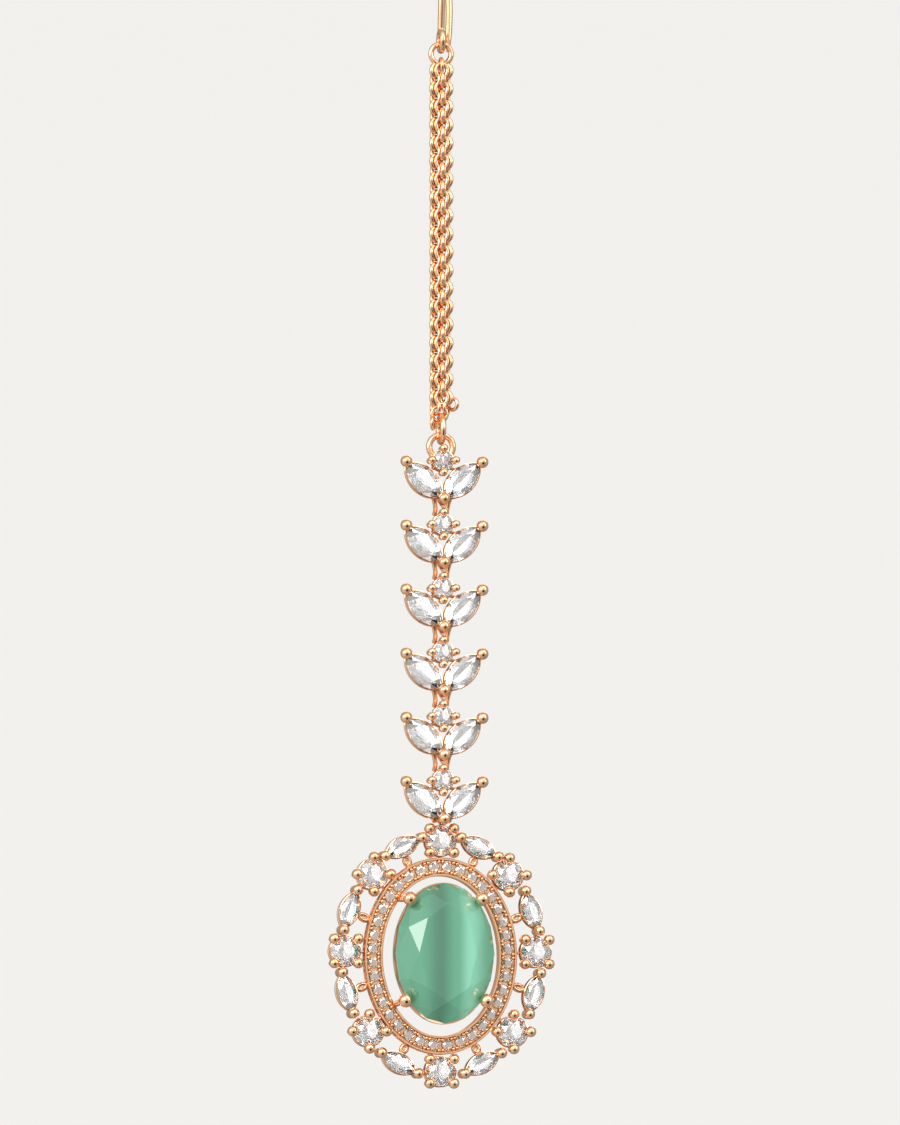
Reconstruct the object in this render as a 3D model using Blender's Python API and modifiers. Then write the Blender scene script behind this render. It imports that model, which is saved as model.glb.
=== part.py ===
# A forehead jewel that hangs from a wire hook: ring, chain, six leaf links and an oval stone pendant.
# It hangs along -Z with its face to -Y. The origin is the inside top of the hook's bend.

import math

import bmesh
import bpy
from mathutils import Euler, Matrix, Vector

# Running gap between links that hang in each other, and between a stone and its setting
LINK_GAP = 0.00008
STONE_GAP = 0.00006

# Hook and the round links, all in metres
HOOK_WIRE = 0.00065
HOOK_BEND_GAP = 0.0030
HOOK_LENGTH = 0.0188
HOOK_EYE_RADIUS = 0.0010
HOOK_TIP_ASIDE = 0.0011
TOP_RING_RADIUS = 0.001025
TOP_RING_WIRE = 0.00055
JUMP_RING_RADIUS = 0.00132
JUMP_RING_WIRE = 0.00062
LOOP_RING_RADIUS = 0.0012
LOOP_RING_WIRE = 0.00064

# Chain bundle
CHAIN_LENGTH = 0.0343
CHAIN_WIDTH = 0.0025
CHAIN_DEPTH = 0.0017
END_LINK_WIRE = 0.0004

# Leaf links of the stem
LEAF_UNITS = 6
LEAF_PITCH = 0.0064
LEAF_LENGTH = 0.0049
LEAF_WIDTH = 0.0025
LEAF_LEAN = math.radians(43.5)
LEAF_GALLERY = 0.0011
LEAF_BALL = 0.0011
LEAF_GIRDLE_FRONT = 0.00135
STEM_ROUND = 0.0020
STEM_ROUND_RISE = 0.00384
STEM_COLLET = 0.0014
STEM_BALL = 0.00078
HINGE_BACK = 0.00035
HINGE_BAR = 0.0003
HINGE_EYE_WIRE = 0.00026
POINT_PLATE_DROP = 0.0010
POINT_PLATE_HALF_WIDTH = 0.0009
POINT_PLATE_DEPTH = 0.00046
YOKE_HALF_SPAN = 0.0007
LAST_YOKE_HALF_SPAN = 0.0006
BAR_OVERHANG = 0.00009

# Pendant
PENDANT_NECK = 0.00214
HALO_HALF_WIDTH = 0.00966
HALO_HALF_HEIGHT = 0.01149
HALO_ROUND = 0.0030
HALO_LEAF_LENGTH = 0.0038
HALO_LEAF_WIDTH = 0.0019
HALO_LEAF_OUT = 0.0003
HALO_TIP_FOOT = 0.0005
HALO_COLLET = 0.0014
HALO_BALL = 0.00098
BAND_WIDTH = 0.00185
BAND_TO_SIDE_ROUND = 0.000435
BAND_TO_END_ROUND = 0.000165
CONNECTOR_BITE = 0.00012
BAND_RAIL = 0.00024
BAND_RECESS = 0.0002
PAVE_STONES = 36
PAVE_STONE = 0.0012
MAIN_WIDTH = 0.0100
MAIN_HEIGHT = 0.0140
MAIN_CROWN = 0.0018
MAIN_PAVILION = 0.0034
MAIN_RAISE = 0.0024
MAIN_RISE = 0.0002
MAIN_BALL = 0.0013
MAIN_RAIL_INSIDE = 0.0003
MAIN_STEM_WIRE = 0.0006
MAIN_STEM_ASIDE = 0.0007
MAIN_RAIL_PROUD = 0.00018
MAIN_RAIL_DROP = 0.00075
MAIN_UPPER_PRONG = math.radians(47)
MAIN_LOWER_PRONG = math.radians(40)

# Stations of the halo from the top down one side, in degrees: rounds and leaves in turn
HALO_STATIONS = (0.0, 22.8, 45.2, 67.4, 87.8, 108.4, 131.0, 155.0, 180.0)
HALO_ROUNDS = len(HALO_STATIONS) - 1

# How far into the band's width the feet of the basket's stems and the joints of the halo reach, as shares
STEM_FOOT_SHARE = 0.4
BAND_POINT_SHARE = 0.3

# Where the struts and yoke legs meet a leaf, as shares of its reach
STRUT_SHARE = 0.58
YOKE_SHARE = 0.25

# Settings
WALL_PROUD = 0.0001
WALL_FOOT = 0.00028
PRONG_ASIDE = 0.00021
PRONG_NECK = 0.00015
PRONG_FOOT = 0.0003

# Proportions of a cut stone, as shares of its width
TABLE_SHARE = 0.56
CROWN_SHARE = 0.16
PAVILION_SHARE = 0.42
CROWN_SLOPE = math.atan2(CROWN_SHARE, 0.5 * (1 - TABLE_SHARE))
LEAF_KEEL_SHARE = 0.25
MAIN_TABLE_ACROSS = 0.62
MAIN_TABLE_ALONG = 0.66
MAIN_KEEL_SHARE = 0.1

# Facets
WIRE_SIDES = 6
LINK_STEPS = 12
PRONG_SIDES = 6
SMALL_PRONG_SIDES = 5
OUTLINE_POINTS = 10
BAND_POINTS = 32
SMALL_LINK_STEPS = 8
SMALL_LINK_SIDES = 4

# The band's centreline lies inside the halo's rounds
BAND_HALF_WIDTH = HALO_HALF_WIDTH - HALO_ROUND / 2 - BAND_WIDTH / 2 - BAND_TO_SIDE_ROUND
BAND_HALF_HEIGHT = HALO_HALF_HEIGHT - HALO_ROUND / 2 - BAND_WIDTH / 2 - BAND_TO_END_ROUND


def clear_scene():
    for old in list(bpy.data.objects):
        bpy.data.objects.remove(old, do_unlink=True)


def make_collection(name):
    collection = bpy.data.collections.new(name)
    bpy.context.scene.collection.children.link(collection)
    return collection


def make_material(name, color, metallic, roughness, transmission=0.0, ior=1.5):
    material = bpy.data.materials.new(name)
    material.use_nodes = True
    shader = material.node_tree.nodes["Principled BSDF"]
    shader.inputs["Base Color"].default_value = (*color, 1.0)
    shader.inputs["Metallic"].default_value = metallic
    shader.inputs["Roughness"].default_value = roughness
    shader.inputs["Transmission Weight"].default_value = transmission
    shader.inputs["IOR"].default_value = ior
    return material


def rose_gold():
    return make_material("rose_gold", (0.83, 0.50, 0.31), 1.0, 0.16)


def clear_stone():
    return make_material("clear_stone", (0.95, 0.95, 0.95), 0.0, 0.02, 0.9, 2.15)


def green_stone():
    return make_material("green_stone", (0.14, 0.45, 0.31), 0.0, 0.05, 0.5, 1.6)


def mesh_of(shape, name="shape"):
    # Turns a bmesh into a mesh whose faces point outwards
    bmesh.ops.recalc_face_normals(shape, faces=shape.faces)
    mesh = bpy.data.meshes.new(name)
    shape.to_mesh(mesh)
    shape.free()
    return mesh


def facing(x, y, z, turn=0.0):
    # Frame of a setting that faces the front: its own Z points to -Y, its own Y up, turned in its plane
    return Matrix.Translation((x, y, z)) @ Euler((math.pi / 2, -turn, 0.0)).to_matrix().to_4x4()


def add_object(name, mesh, matrix, collection, material=None):
    part = bpy.data.objects.new(name, mesh)
    part.matrix_world = matrix
    collection.objects.link(part)
    if material and not mesh.materials:
        mesh.materials.append(material)
    return part


def oval_outline(half_width, half_height, count, grow=0.0):
    angles = [2 * math.pi * k / count for k in range(count)]
    return [((half_width + grow) * math.cos(a), (half_height + grow) * math.sin(a)) for a in angles]


def leaf_arc(length, width):
    # A leaf outline is two equal arcs: this gives their radius and how far each centre is off the long axis
    radius = (length ** 2 + width ** 2) / (4 * width)
    return radius, radius - width / 2


def leaf_outline(length, width, count, grow=0.0):
    radius, off_axis = leaf_arc(length, width)
    reach = math.acos(off_axis / (radius + grow))
    half = count // 2
    upper = []
    for k in range(half):
        angle = reach * (1 - 2 * k / half)
        upper.append(((radius + grow) * math.sin(angle), (radius + grow) * math.cos(angle) - off_axis))
    return upper + [(-x, -y) for x, y in upper]


def wall_mesh(outline, depth):
    # Open setting wall under a stone: a ring of three edges, thin at the stone and thicker at its foot
    edges = ((WALL_PROUD, -0.2 * STONE_GAP), (WALL_PROUD, -depth), (-WALL_FOOT, -depth))
    return ring_mesh([(outline(grow), height) for grow, height in edges])


def ring_mesh(sections):
    # A closed ring lofted through a cycle of flat outlines with equal numbers of points
    shape = bmesh.new()
    loops = [[shape.verts.new((x, y, height)) for x, y in points] for points, height in sections]
    for k, loop in enumerate(loops):
        following = loops[(k + 1) % len(loops)]
        for j in range(len(loop)):
            i = (j + 1) % len(loop)
            shape.faces.new((loop[j], loop[i], following[i], following[j]))
    return mesh_of(shape)


def hull_mesh(points):
    shape = bmesh.new()
    for point in points:
        shape.verts.new(point)
    bmesh.ops.convex_hull(shape, input=shape.verts)
    loose = [vertex for vertex in shape.verts if not vertex.link_faces]
    bmesh.ops.delete(shape, geom=loose, context="VERTS")
    return mesh_of(shape)


def cut_stone_mesh(table, girdle, crown, culet, pavilion):
    # A cut stone: table, crown facets down to the girdle, pavilion facets to the culet
    points = [(x, y, crown) for x, y in table]
    points += [(x, y, 0.0) for x, y in girdle]
    points += [(x, y, -pavilion) for x, y in culet]
    return hull_mesh(points)


def round_stone_mesh(diameter):
    table = oval_outline(TABLE_SHARE * diameter / 2, TABLE_SHARE * diameter / 2, 8)
    girdle = oval_outline(diameter / 2, diameter / 2, 16)
    return cut_stone_mesh(table, girdle, CROWN_SHARE * diameter, [(0, 0)], PAVILION_SHARE * diameter)


def leaf_stone_mesh(length, width):
    table = leaf_outline(TABLE_SHARE * length, TABLE_SHARE * width, 8)
    girdle = leaf_outline(length, width, OUTLINE_POINTS)
    keel = [(LEAF_KEEL_SHARE * length, 0), (-LEAF_KEEL_SHARE * length, 0)]
    return cut_stone_mesh(table, girdle, CROWN_SHARE * width, keel, PAVILION_SHARE * width)


def oval_stone_mesh():
    table = oval_outline(MAIN_TABLE_ACROSS * MAIN_WIDTH / 2, MAIN_TABLE_ALONG * MAIN_HEIGHT / 2, 12)
    girdle = oval_outline(MAIN_WIDTH / 2, MAIN_HEIGHT / 2, 24)
    keel = [(0, MAIN_KEEL_SHARE * MAIN_HEIGHT), (0, -MAIN_KEEL_SHARE * MAIN_HEIGHT)]
    return cut_stone_mesh(table, girdle, MAIN_CROWN, keel, MAIN_PAVILION)


def turned_mesh(profile, sides):
    # Turns a profile (radius, height), listed from its top down, round the Z axis
    shape = bpy.data.meshes.new("profile")
    points = [(radius, 0.0, height) for radius, height in profile]
    shape.from_pydata(points, [(k, k + 1) for k in range(len(points) - 1)], [])
    turned = bpy.data.objects.new("profile", shape)
    bpy.context.scene.collection.objects.link(turned)
    screw = turned.modifiers.new("turn", "SCREW")
    screw.steps = sides
    screw.render_steps = sides
    screw.use_merge_vertices = True
    screw.merge_threshold = 0.000001
    mesh = bpy.data.meshes.new_from_object(turned.evaluated_get(bpy.context.evaluated_depsgraph_get()))
    bpy.data.objects.remove(turned, do_unlink=True)
    return mesh


def ball_height(ball, aside):
    # Height of a prong's ball over the girdle, so that it just clears the crown under it
    return (ball / 2 + STONE_GAP - aside * math.sin(CROWN_SLOPE)) / math.cos(CROWN_SLOPE)


def prong_mesh(ball, depth, sides=PRONG_SIDES, foot=PRONG_FOOT):
    radius = ball / 2
    height = ball_height(ball, PRONG_ASIDE)
    profile = (
        (0.0, height + radius),
        (0.72 * radius, height + 0.7 * radius),
        (radius, height),
        (PRONG_NECK, STONE_GAP),
        (foot, -0.88 * depth),
        (0.0, -0.88 * depth),
    )
    return turned_mesh(profile, sides)


def link_mesh(radius, wire, steps=LINK_STEPS, sides=WIRE_SIDES):
    # A round link of wire in the XY plane
    bpy.ops.mesh.primitive_torus_add(
        major_radius=radius, minor_radius=wire / 2, major_segments=steps, minor_segments=sides
    )
    made = bpy.context.object
    mesh = made.data
    bpy.data.objects.remove(made, do_unlink=True)
    return mesh


def rod_mesh(start, end, wire, sides=WIRE_SIDES):
    # A straight wire from one point to another
    start, end = Vector(start), Vector(end)
    along = end - start
    place = Matrix.Translation((start + end) / 2) @ along.to_track_quat("Z", "Y").to_matrix().to_4x4()
    shape = bmesh.new()
    bmesh.ops.create_cone(
        shape, cap_ends=True, segments=sides, radius1=wire / 2, radius2=wire / 2,
        depth=along.length, matrix=place,
    )
    return mesh_of(shape)


def wire_mesh(points, wire):
    # A bent wire with closed ends, six-sided
    curve = bpy.data.curves.new("wire", "CURVE")
    curve.dimensions = "3D"
    curve.bevel_depth = wire / 2
    curve.bevel_resolution = 1
    curve.use_fill_caps = True
    spline = curve.splines.new("POLY")
    spline.points.add(len(points) - 1)
    for target, point in zip(spline.points, points):
        target.co = (*point, 1.0)
    bent = bpy.data.objects.new("wire", curve)
    bpy.context.scene.collection.objects.link(bent)
    mesh = bpy.data.meshes.new_from_object(bent.evaluated_get(bpy.context.evaluated_depsgraph_get()))
    bpy.data.objects.remove(bent, do_unlink=True)
    shape = bmesh.new()
    shape.from_mesh(mesh)
    bmesh.ops.remove_doubles(shape, verts=shape.verts, dist=0.000001)
    return mesh_of(shape)


def prism_mesh(outline, low, high):
    # A flat plate in the XY plane between two heights
    shape = bmesh.new()
    loops = [[shape.verts.new((x, y, height)) for x, y in outline] for height in (low, high)]
    shape.faces.new(loops[0])
    shape.faces.new(loops[1])
    for k in range(len(outline)):
        j = (k + 1) % len(outline)
        shape.faces.new((loops[0][k], loops[0][j], loops[1][j], loops[1][k]))
    return mesh_of(shape)


def solder(pieces):
    # Joins overlapping pieces, each a mesh and its place, into the mesh of one closed solid
    helpers = make_collection("solder pieces")
    placed = []
    for mesh, matrix in pieces:
        piece = add_object("piece", mesh, matrix, helpers)
        piece.hide_render = True
        piece.display_type = "WIRE"
        placed.append(piece)
    first = placed[0]
    helpers.objects.unlink(first)
    bpy.context.scene.collection.objects.link(first)
    joint = first.modifiers.new("solder", "BOOLEAN")
    joint.operation = "UNION"
    joint.operand_type = "COLLECTION"
    joint.collection = helpers
    joint.solver = "EXACT"
    mesh = bpy.data.meshes.new_from_object(first.evaluated_get(bpy.context.evaluated_depsgraph_get()))
    mesh.transform(first.matrix_world)
    for piece in placed:
        bpy.data.objects.remove(piece, do_unlink=True)
    bpy.data.collections.remove(helpers)
    shape = bmesh.new()
    shape.from_mesh(mesh)
    bmesh.ops.remove_doubles(shape, verts=shape.verts, dist=0.0000005)
    bmesh.ops.dissolve_degenerate(shape, dist=0.0000005, edges=shape.edges)
    bmesh.ops.triangulate(shape, faces=shape.faces)
    return mesh_of(shape)


def smooth(part):
    part.data.shade_smooth()
    part.data.set_sharp_from_angle(angle=math.radians(38))


# Heights of the links, each hung in the one above with the link gap between their wires
EYE_Z = -HOOK_LENGTH
TOP_RING_Z = EYE_Z - HOOK_EYE_RADIUS + (HOOK_WIRE + TOP_RING_WIRE) / 2 + LINK_GAP - TOP_RING_RADIUS
UPPER_LINK_RADIUS = (TOP_RING_WIRE + 3 * LINK_GAP + END_LINK_WIRE) / 2 + 0.35 * END_LINK_WIRE
UPPER_LINK_Z = (
    TOP_RING_Z - TOP_RING_RADIUS + (TOP_RING_WIRE + END_LINK_WIRE) / 2 + LINK_GAP - UPPER_LINK_RADIUS
)
CHAIN_TOP = TOP_RING_Z - TOP_RING_RADIUS - TOP_RING_WIRE / 2 - 2 * LINK_GAP
CHAIN_BOTTOM = CHAIN_TOP - CHAIN_LENGTH
LOWER_LINK_RADIUS = (JUMP_RING_WIRE + 3 * LINK_GAP + END_LINK_WIRE) / 2 + 0.35 * END_LINK_WIRE
LOWER_LINK_Z = CHAIN_BOTTOM + 0.7 * END_LINK_WIRE - LOWER_LINK_RADIUS
JUMP_RING_Z = (
    LOWER_LINK_Z - LOWER_LINK_RADIUS + (END_LINK_WIRE + JUMP_RING_WIRE) / 2 + LINK_GAP - JUMP_RING_RADIUS
)
LOOP_RING_Z = (
    JUMP_RING_Z - JUMP_RING_RADIUS + (JUMP_RING_WIRE + LOOP_RING_WIRE) / 2 + LINK_GAP - LOOP_RING_RADIUS
)

# The loop ring crosses behind the first stem round, its lower wire a little over the round's centre
FIRST_ROUND_Z = LOOP_RING_Z - LOOP_RING_RADIUS - 0.4 * LOOP_RING_WIRE
FIRST_BALL_Z = FIRST_ROUND_Z - STEM_ROUND_RISE
LAST_BALL_Z = FIRST_BALL_Z - (LEAF_UNITS - 1) * LEAF_PITCH
PENDANT_Z = LAST_BALL_Z - PENDANT_NECK - HALO_HALF_HEIGHT

# Distance from a leaf's shared ball to its tip ball
LEAF_REACH = LEAF_LENGTH + 2 * PRONG_ASIDE

# The swinging eyes: inner radius from the bar, and how high each sits over its round stone's centre
EYE_RADIUS = (HINGE_BAR / 2 + LINK_GAP + HINGE_EYE_WIRE / 2) / math.cos(math.pi / SMALL_LINK_STEPS)
STEM_EYE_RISE = STEM_ROUND / 2 + WALL_PROUD - 0.3 * WALL_PROUD
HALO_EYE_RISE = HALO_ROUND / 2 + WALL_PROUD + EYE_RADIUS


def hook_mesh():
    # Shank from the eye up, over the bend and down the back to a tip that stands a little aside
    bend = HOOK_BEND_GAP / 2 + HOOK_WIRE / 2
    eye_top = EYE_Z + HOOK_EYE_RADIUS
    points = [(0.0, 0.0, eye_top), (0.0, -0.35 * bend, eye_top + 0.25 * HOOK_LENGTH)]
    for k in range(9):
        angle = math.pi * k / 8
        points.append((0.0, -bend * math.cos(angle), HOOK_WIRE / 2 - bend + bend * math.sin(angle)))
    points.append((0.5 * HOOK_TIP_ASIDE, 1.05 * bend, -0.45 * HOOK_LENGTH))
    points.append((HOOK_TIP_ASIDE, 0.9 * bend, -0.78 * HOOK_LENGTH))
    points.append((0.85 * HOOK_TIP_ASIDE, 0.8 * bend, -1.05 * HOOK_LENGTH))
    eye = Matrix.Translation((0.0, 0.0, EYE_Z)) @ Matrix.Rotation(math.pi / 2, 4, "Y")
    return solder([
        (link_mesh(HOOK_EYE_RADIUS, HOOK_WIRE), eye),
        (wire_mesh(points, HOOK_WIRE), Matrix.Identity(4)),
    ])


def chain_mesh():
    # The bundle's outer form, with the end links that hold the rings above and below it
    outline = []
    corner = CHAIN_DEPTH / 2
    for side in (1, -1):
        for k in range(5):
            angle = math.pi * (k / 4 - 0.5) + (0 if side > 0 else math.pi)
            across = side * (CHAIN_WIDTH / 2 - corner) + corner * math.cos(angle)
            outline.append((across, corner * math.sin(angle)))
    shape = bmesh.new()
    shoulder = CHAIN_DEPTH / 4
    stations = (
        (CHAIN_TOP, 0.7), (CHAIN_TOP - shoulder, 1.0), (CHAIN_BOTTOM + shoulder, 1.0), (CHAIN_BOTTOM, 0.7)
    )
    loops = [[shape.verts.new((x * size, y * size, z)) for x, y in outline] for z, size in stations]
    shape.faces.new(loops[0])
    shape.faces.new(loops[-1])
    for upper, lower in zip(loops, loops[1:]):
        for k in range(len(outline)):
            j = (k + 1) % len(outline)
            shape.faces.new((upper[k], upper[j], lower[j], lower[k]))
    edge_on = Matrix.Translation((0.0, 0.0, UPPER_LINK_Z)) @ Matrix.Rotation(math.pi / 2, 4, "Y")
    face_on = facing(0.0, 0.0, LOWER_LINK_Z)
    return solder([
        (mesh_of(shape), Matrix.Identity(4)),
        (link_mesh(UPPER_LINK_RADIUS, END_LINK_WIRE), edge_on),
        (link_mesh(LOWER_LINK_RADIUS, END_LINK_WIRE), face_on),
    ])


def leaf_place(side):
    # Centre and turn of a leaf in its unit, whose own origin is at the shared ball
    half = LEAF_REACH / 2
    turn = LEAF_LEAN if side > 0 else math.pi - LEAF_LEAN
    return facing(half * math.cos(turn), -LEAF_GIRDLE_FRONT, half * math.sin(turn), turn)


def leaf_wall_point(along, side, lower=True):
    # A point inside a leaf's wall, at a distance along the leaf from the shared ball
    radius, off_axis = leaf_arc(LEAF_LENGTH, LEAF_WIDTH)
    inside = radius + (WALL_PROUD - WALL_FOOT) / 2
    off = math.sqrt(inside ** 2 - (along - LEAF_REACH / 2) ** 2) - off_axis
    off = -off if lower else off
    across = along * math.cos(LEAF_LEAN) - off * math.sin(LEAF_LEAN)
    up = along * math.sin(LEAF_LEAN) + off * math.cos(LEAF_LEAN)
    return side * across, up


def yoke_pieces(bar_z, half_span):
    # Two legs from the leaf walls down to a cross bar that the next eye hangs on
    pieces = []
    for side in (1, -1):
        x, z = leaf_wall_point(YOKE_SHARE * LEAF_REACH, side)
        start = (x, -LEAF_GIRDLE_FRONT + 0.75 * LEAF_GALLERY, z)
        end = (side * half_span, HINGE_BACK, bar_z)
        pieces.append((rod_mesh(start, end, HINGE_BAR), Matrix.Identity(4)))
    over = half_span + BAR_OVERHANG
    bar = rod_mesh((-over, HINGE_BACK, bar_z), (over, HINGE_BACK, bar_z), HINGE_BAR)
    return pieces + [(bar, Matrix.Identity(4))]


def eye_piece(x, z):
    # A small eye that stands edge-on to the front, round the cross bar of the link above
    place = Matrix.Translation((x, HINGE_BACK, z)) @ Matrix.Rotation(math.pi / 2, 4, "Y")
    return link_mesh(EYE_RADIUS, HINGE_EYE_WIRE, SMALL_LINK_STEPS, SMALL_LINK_SIDES), place


def leaf_unit_mesh(first, last):
    girdle = -LEAF_GIRDLE_FRONT
    leaf_wall = wall_mesh(
        lambda grow: leaf_outline(LEAF_LENGTH, LEAF_WIDTH, OUTLINE_POINTS, grow), LEAF_GALLERY
    )
    radius = STEM_ROUND / 2
    round_wall = wall_mesh(lambda grow: oval_outline(radius, radius, OUTLINE_POINTS, grow), STEM_COLLET)
    tip_prong = prong_mesh(LEAF_BALL, LEAF_GALLERY)
    round_prong = prong_mesh(STEM_BALL, STEM_COLLET, SMALL_PRONG_SIDES)
    pieces = [(round_wall, facing(0.0, girdle, STEM_ROUND_RISE))]
    pieces.append((tip_prong, facing(0.0, girdle, 0.0)))
    for side in (1, -1):
        pieces.append((leaf_wall, leaf_place(side)))
        tip = (side * LEAF_REACH * math.cos(LEAF_LEAN), LEAF_REACH * math.sin(LEAF_LEAN))
        pieces.append((tip_prong, facing(tip[0], girdle, tip[1])))
        x, z = leaf_wall_point(STRUT_SHARE * LEAF_REACH, side, lower=False)
        middle = girdle + 0.5 * LEAF_GALLERY
        inside = 0.75 * radius
        start = (side * inside, middle, STEM_ROUND_RISE - inside)
        pieces.append((rod_mesh(start, (x, middle, z), HINGE_BAR, SMALL_PRONG_SIDES), Matrix.Identity(4)))
    for k in range(4):
        angle = math.pi / 2 * k
        reach = radius + PRONG_ASIDE
        place = facing(reach * math.cos(angle), girdle, STEM_ROUND_RISE + reach * math.sin(angle))
        pieces.append((round_prong, place))
    pieces.append((point_plate_mesh(), facing(0.0, girdle, 0.0)))
    if first:
        ring_z = LOOP_RING_Z - FIRST_BALL_Z
        pieces.append((link_mesh(LOOP_RING_RADIUS, LOOP_RING_WIRE), facing(0.0, 0.0, ring_z)))
    else:
        pieces.append(eye_piece(0.0, STEM_ROUND_RISE + STEM_EYE_RISE))
    if last:
        pieces += yoke_pieces(HALO_EYE_RISE - PENDANT_NECK, LAST_YOKE_HALF_SPAN)
    else:
        pieces += yoke_pieces(STEM_ROUND_RISE + STEM_EYE_RISE - LEAF_PITCH, YOKE_HALF_SPAN)
    return solder(pieces)


def point_plate_mesh():
    # The pointed plate under the shared ball
    reach = POINT_PLATE_HALF_WIDTH
    outline = [(-reach, -0.1 * reach), (0.0, -POINT_PLATE_DROP), (reach, -0.1 * reach), (0.0, 0.2 * reach)]
    return prism_mesh(outline, -POINT_PLATE_DEPTH, -1.2 * STONE_GAP)


def halo_point(angle, out=0.0):
    # A point of the halo's oval, at an angle from the top towards the right
    return (HALO_HALF_WIDTH + out) * math.sin(angle), (HALO_HALF_HEIGHT + out) * math.cos(angle)


def halo_angle(step):
    # Angle of a station: even steps are rounds, odd ones leaves, and past the bottom the sides mirror
    whole = 2 * HALO_ROUNDS
    if step > HALO_ROUNDS:
        return -math.radians(HALO_STATIONS[whole - step])
    return math.radians(HALO_STATIONS[step])


def halo_leaf(k):
    # Place and turn of a halo leaf, which lies along the oval between two rounds
    angle = halo_angle(2 * k + 1)
    x, z = halo_point(angle, HALO_LEAF_OUT)
    turn = math.atan2(-HALO_HALF_HEIGHT * math.sin(angle), HALO_HALF_WIDTH * math.cos(angle))
    return x, z, turn


def oval_stations(half_width, half_height, count):
    # Points spaced evenly along an oval, found by stepping round it, with the angle each faces
    fine = 2400
    outline = oval_outline(half_width, half_height, fine)
    lengths = [0.0]
    for k in range(fine):
        a, b = outline[k], outline[(k + 1) % fine]
        lengths.append(lengths[-1] + math.dist(a, b))
    stations = []
    step = 0
    for k in range(count):
        target = lengths[-1] * (k + 0.5) / count
        while lengths[step + 1] < target:
            step += 1
        angle = 2 * math.pi * step / fine
        facing_angle = math.atan2(half_width * math.sin(angle), half_height * math.cos(angle))
        stations.append((*outline[step], facing_angle))
    return stations


def band_mesh():
    # The oval band that holds the small stones: a recessed floor between two rails
    half = BAND_WIDTH / 2
    floor = half - BAND_RAIL
    edges = (
        (half, 0.0), (half, -HALO_COLLET), (-half, -HALO_COLLET), (-half, 0.0),
        (-floor, 0.0), (-floor, -BAND_RECESS), (floor, -BAND_RECESS), (floor, 0.0),
    )
    return ring_mesh([
        (oval_outline(BAND_HALF_WIDTH, BAND_HALF_HEIGHT, BAND_POINTS, grow), height) for grow, height in edges
    ])


def pave_mesh():
    # A small round stone with its table, sunk into the band's floor
    radius = PAVE_STONE / 2
    crown = CROWN_SHARE * PAVE_STONE - 0.5 * BAND_RECESS
    table = [(x, y, crown) for x, y in oval_outline(TABLE_SHARE * radius, TABLE_SHARE * radius, 8)]
    foot = [(x, y, -1.4 * BAND_RECESS) for x, y in oval_outline(radius, radius, 8)]
    return hull_mesh(table + foot)


def halo_pieces():
    # Settings of the rounds and leaves, whose tips meet the rounds' walls, and what joins them to the band
    pieces = []
    radius = HALO_ROUND / 2
    round_wall = wall_mesh(lambda grow: oval_outline(radius, radius, OUTLINE_POINTS, grow), HALO_COLLET)
    leaf_wall = wall_mesh(
        lambda grow: leaf_outline(HALO_LEAF_LENGTH, HALO_LEAF_WIDTH, OUTLINE_POINTS, grow), HALO_COLLET
    )
    prong = prong_mesh(HALO_BALL, HALO_COLLET)
    tip_prong = prong_mesh(HALO_BALL, HALO_COLLET, foot=HALO_TIP_FOOT)
    joint_depth = 0.5 * HALO_COLLET
    leaf_reach = HALO_LEAF_LENGTH / 2 + PRONG_ASIDE
    for k in range(HALO_ROUNDS):
        x, z = halo_point(halo_angle(2 * k))
        pieces.append((round_wall, facing(x, 0.0, z)))
        first = math.pi / 4 if k % 2 == 0 else 0.0
        for j in range(4):
            around = first + math.pi / 2 * j
            reach = radius + PRONG_ASIDE
            pieces.append((prong, facing(x + reach * math.cos(around), 0.0, z + reach * math.sin(around))))
        inward = Vector((-x, 0.0, -z)).normalized()
        start = Vector((x, joint_depth, z)) + inward * (radius - 0.5 * WALL_FOOT)
        strut = rod_mesh(start, band_point(x, z, joint_depth), HINGE_BAR, SMALL_PRONG_SIDES)
        pieces.append((strut, Matrix.Identity(4)))
        x, z, turn = halo_leaf(k)
        pieces.append((leaf_wall, facing(x, 0.0, z, turn)))
        for side in (1, -1):
            tip = (x + side * leaf_reach * math.cos(turn), z + side * leaf_reach * math.sin(turn))
            pieces.append((tip_prong, facing(tip[0], 0.0, tip[1])))
        pieces += connector_pieces(x, z)
    return pieces


def band_point(x, z, y):
    # The point inside the band nearest to a direction from the centre
    out = BAND_POINT_SHARE * BAND_WIDTH
    scale = 1.0 / math.hypot(x / (BAND_HALF_WIDTH + out), z / (BAND_HALF_HEIGHT + out))
    return Vector((x * scale, y, z * scale))


def connector_pieces(x, z):
    # A small open loop between a halo leaf and the band
    inner = band_point(x, z, 0.0)
    outer = Vector((x, 0.0, z))
    span = (outer - inner).length
    buried = (0.5 - BAND_POINT_SHARE) * BAND_WIDTH
    free = span - buried - HALO_LEAF_WIDTH / 2 - WALL_PROUD
    reach = free / 2 + CONNECTOR_BITE - HINGE_BAR / 2
    centre = inner + (outer - inner).normalized() * (buried + free / 2)
    turn = math.atan2(z, x)
    place = facing(centre.x, 0.35 * HALO_COLLET, centre.z, turn)
    return [(link_mesh(reach, HINGE_BAR, SMALL_LINK_STEPS, SMALL_LINK_SIDES), place)]


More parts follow.
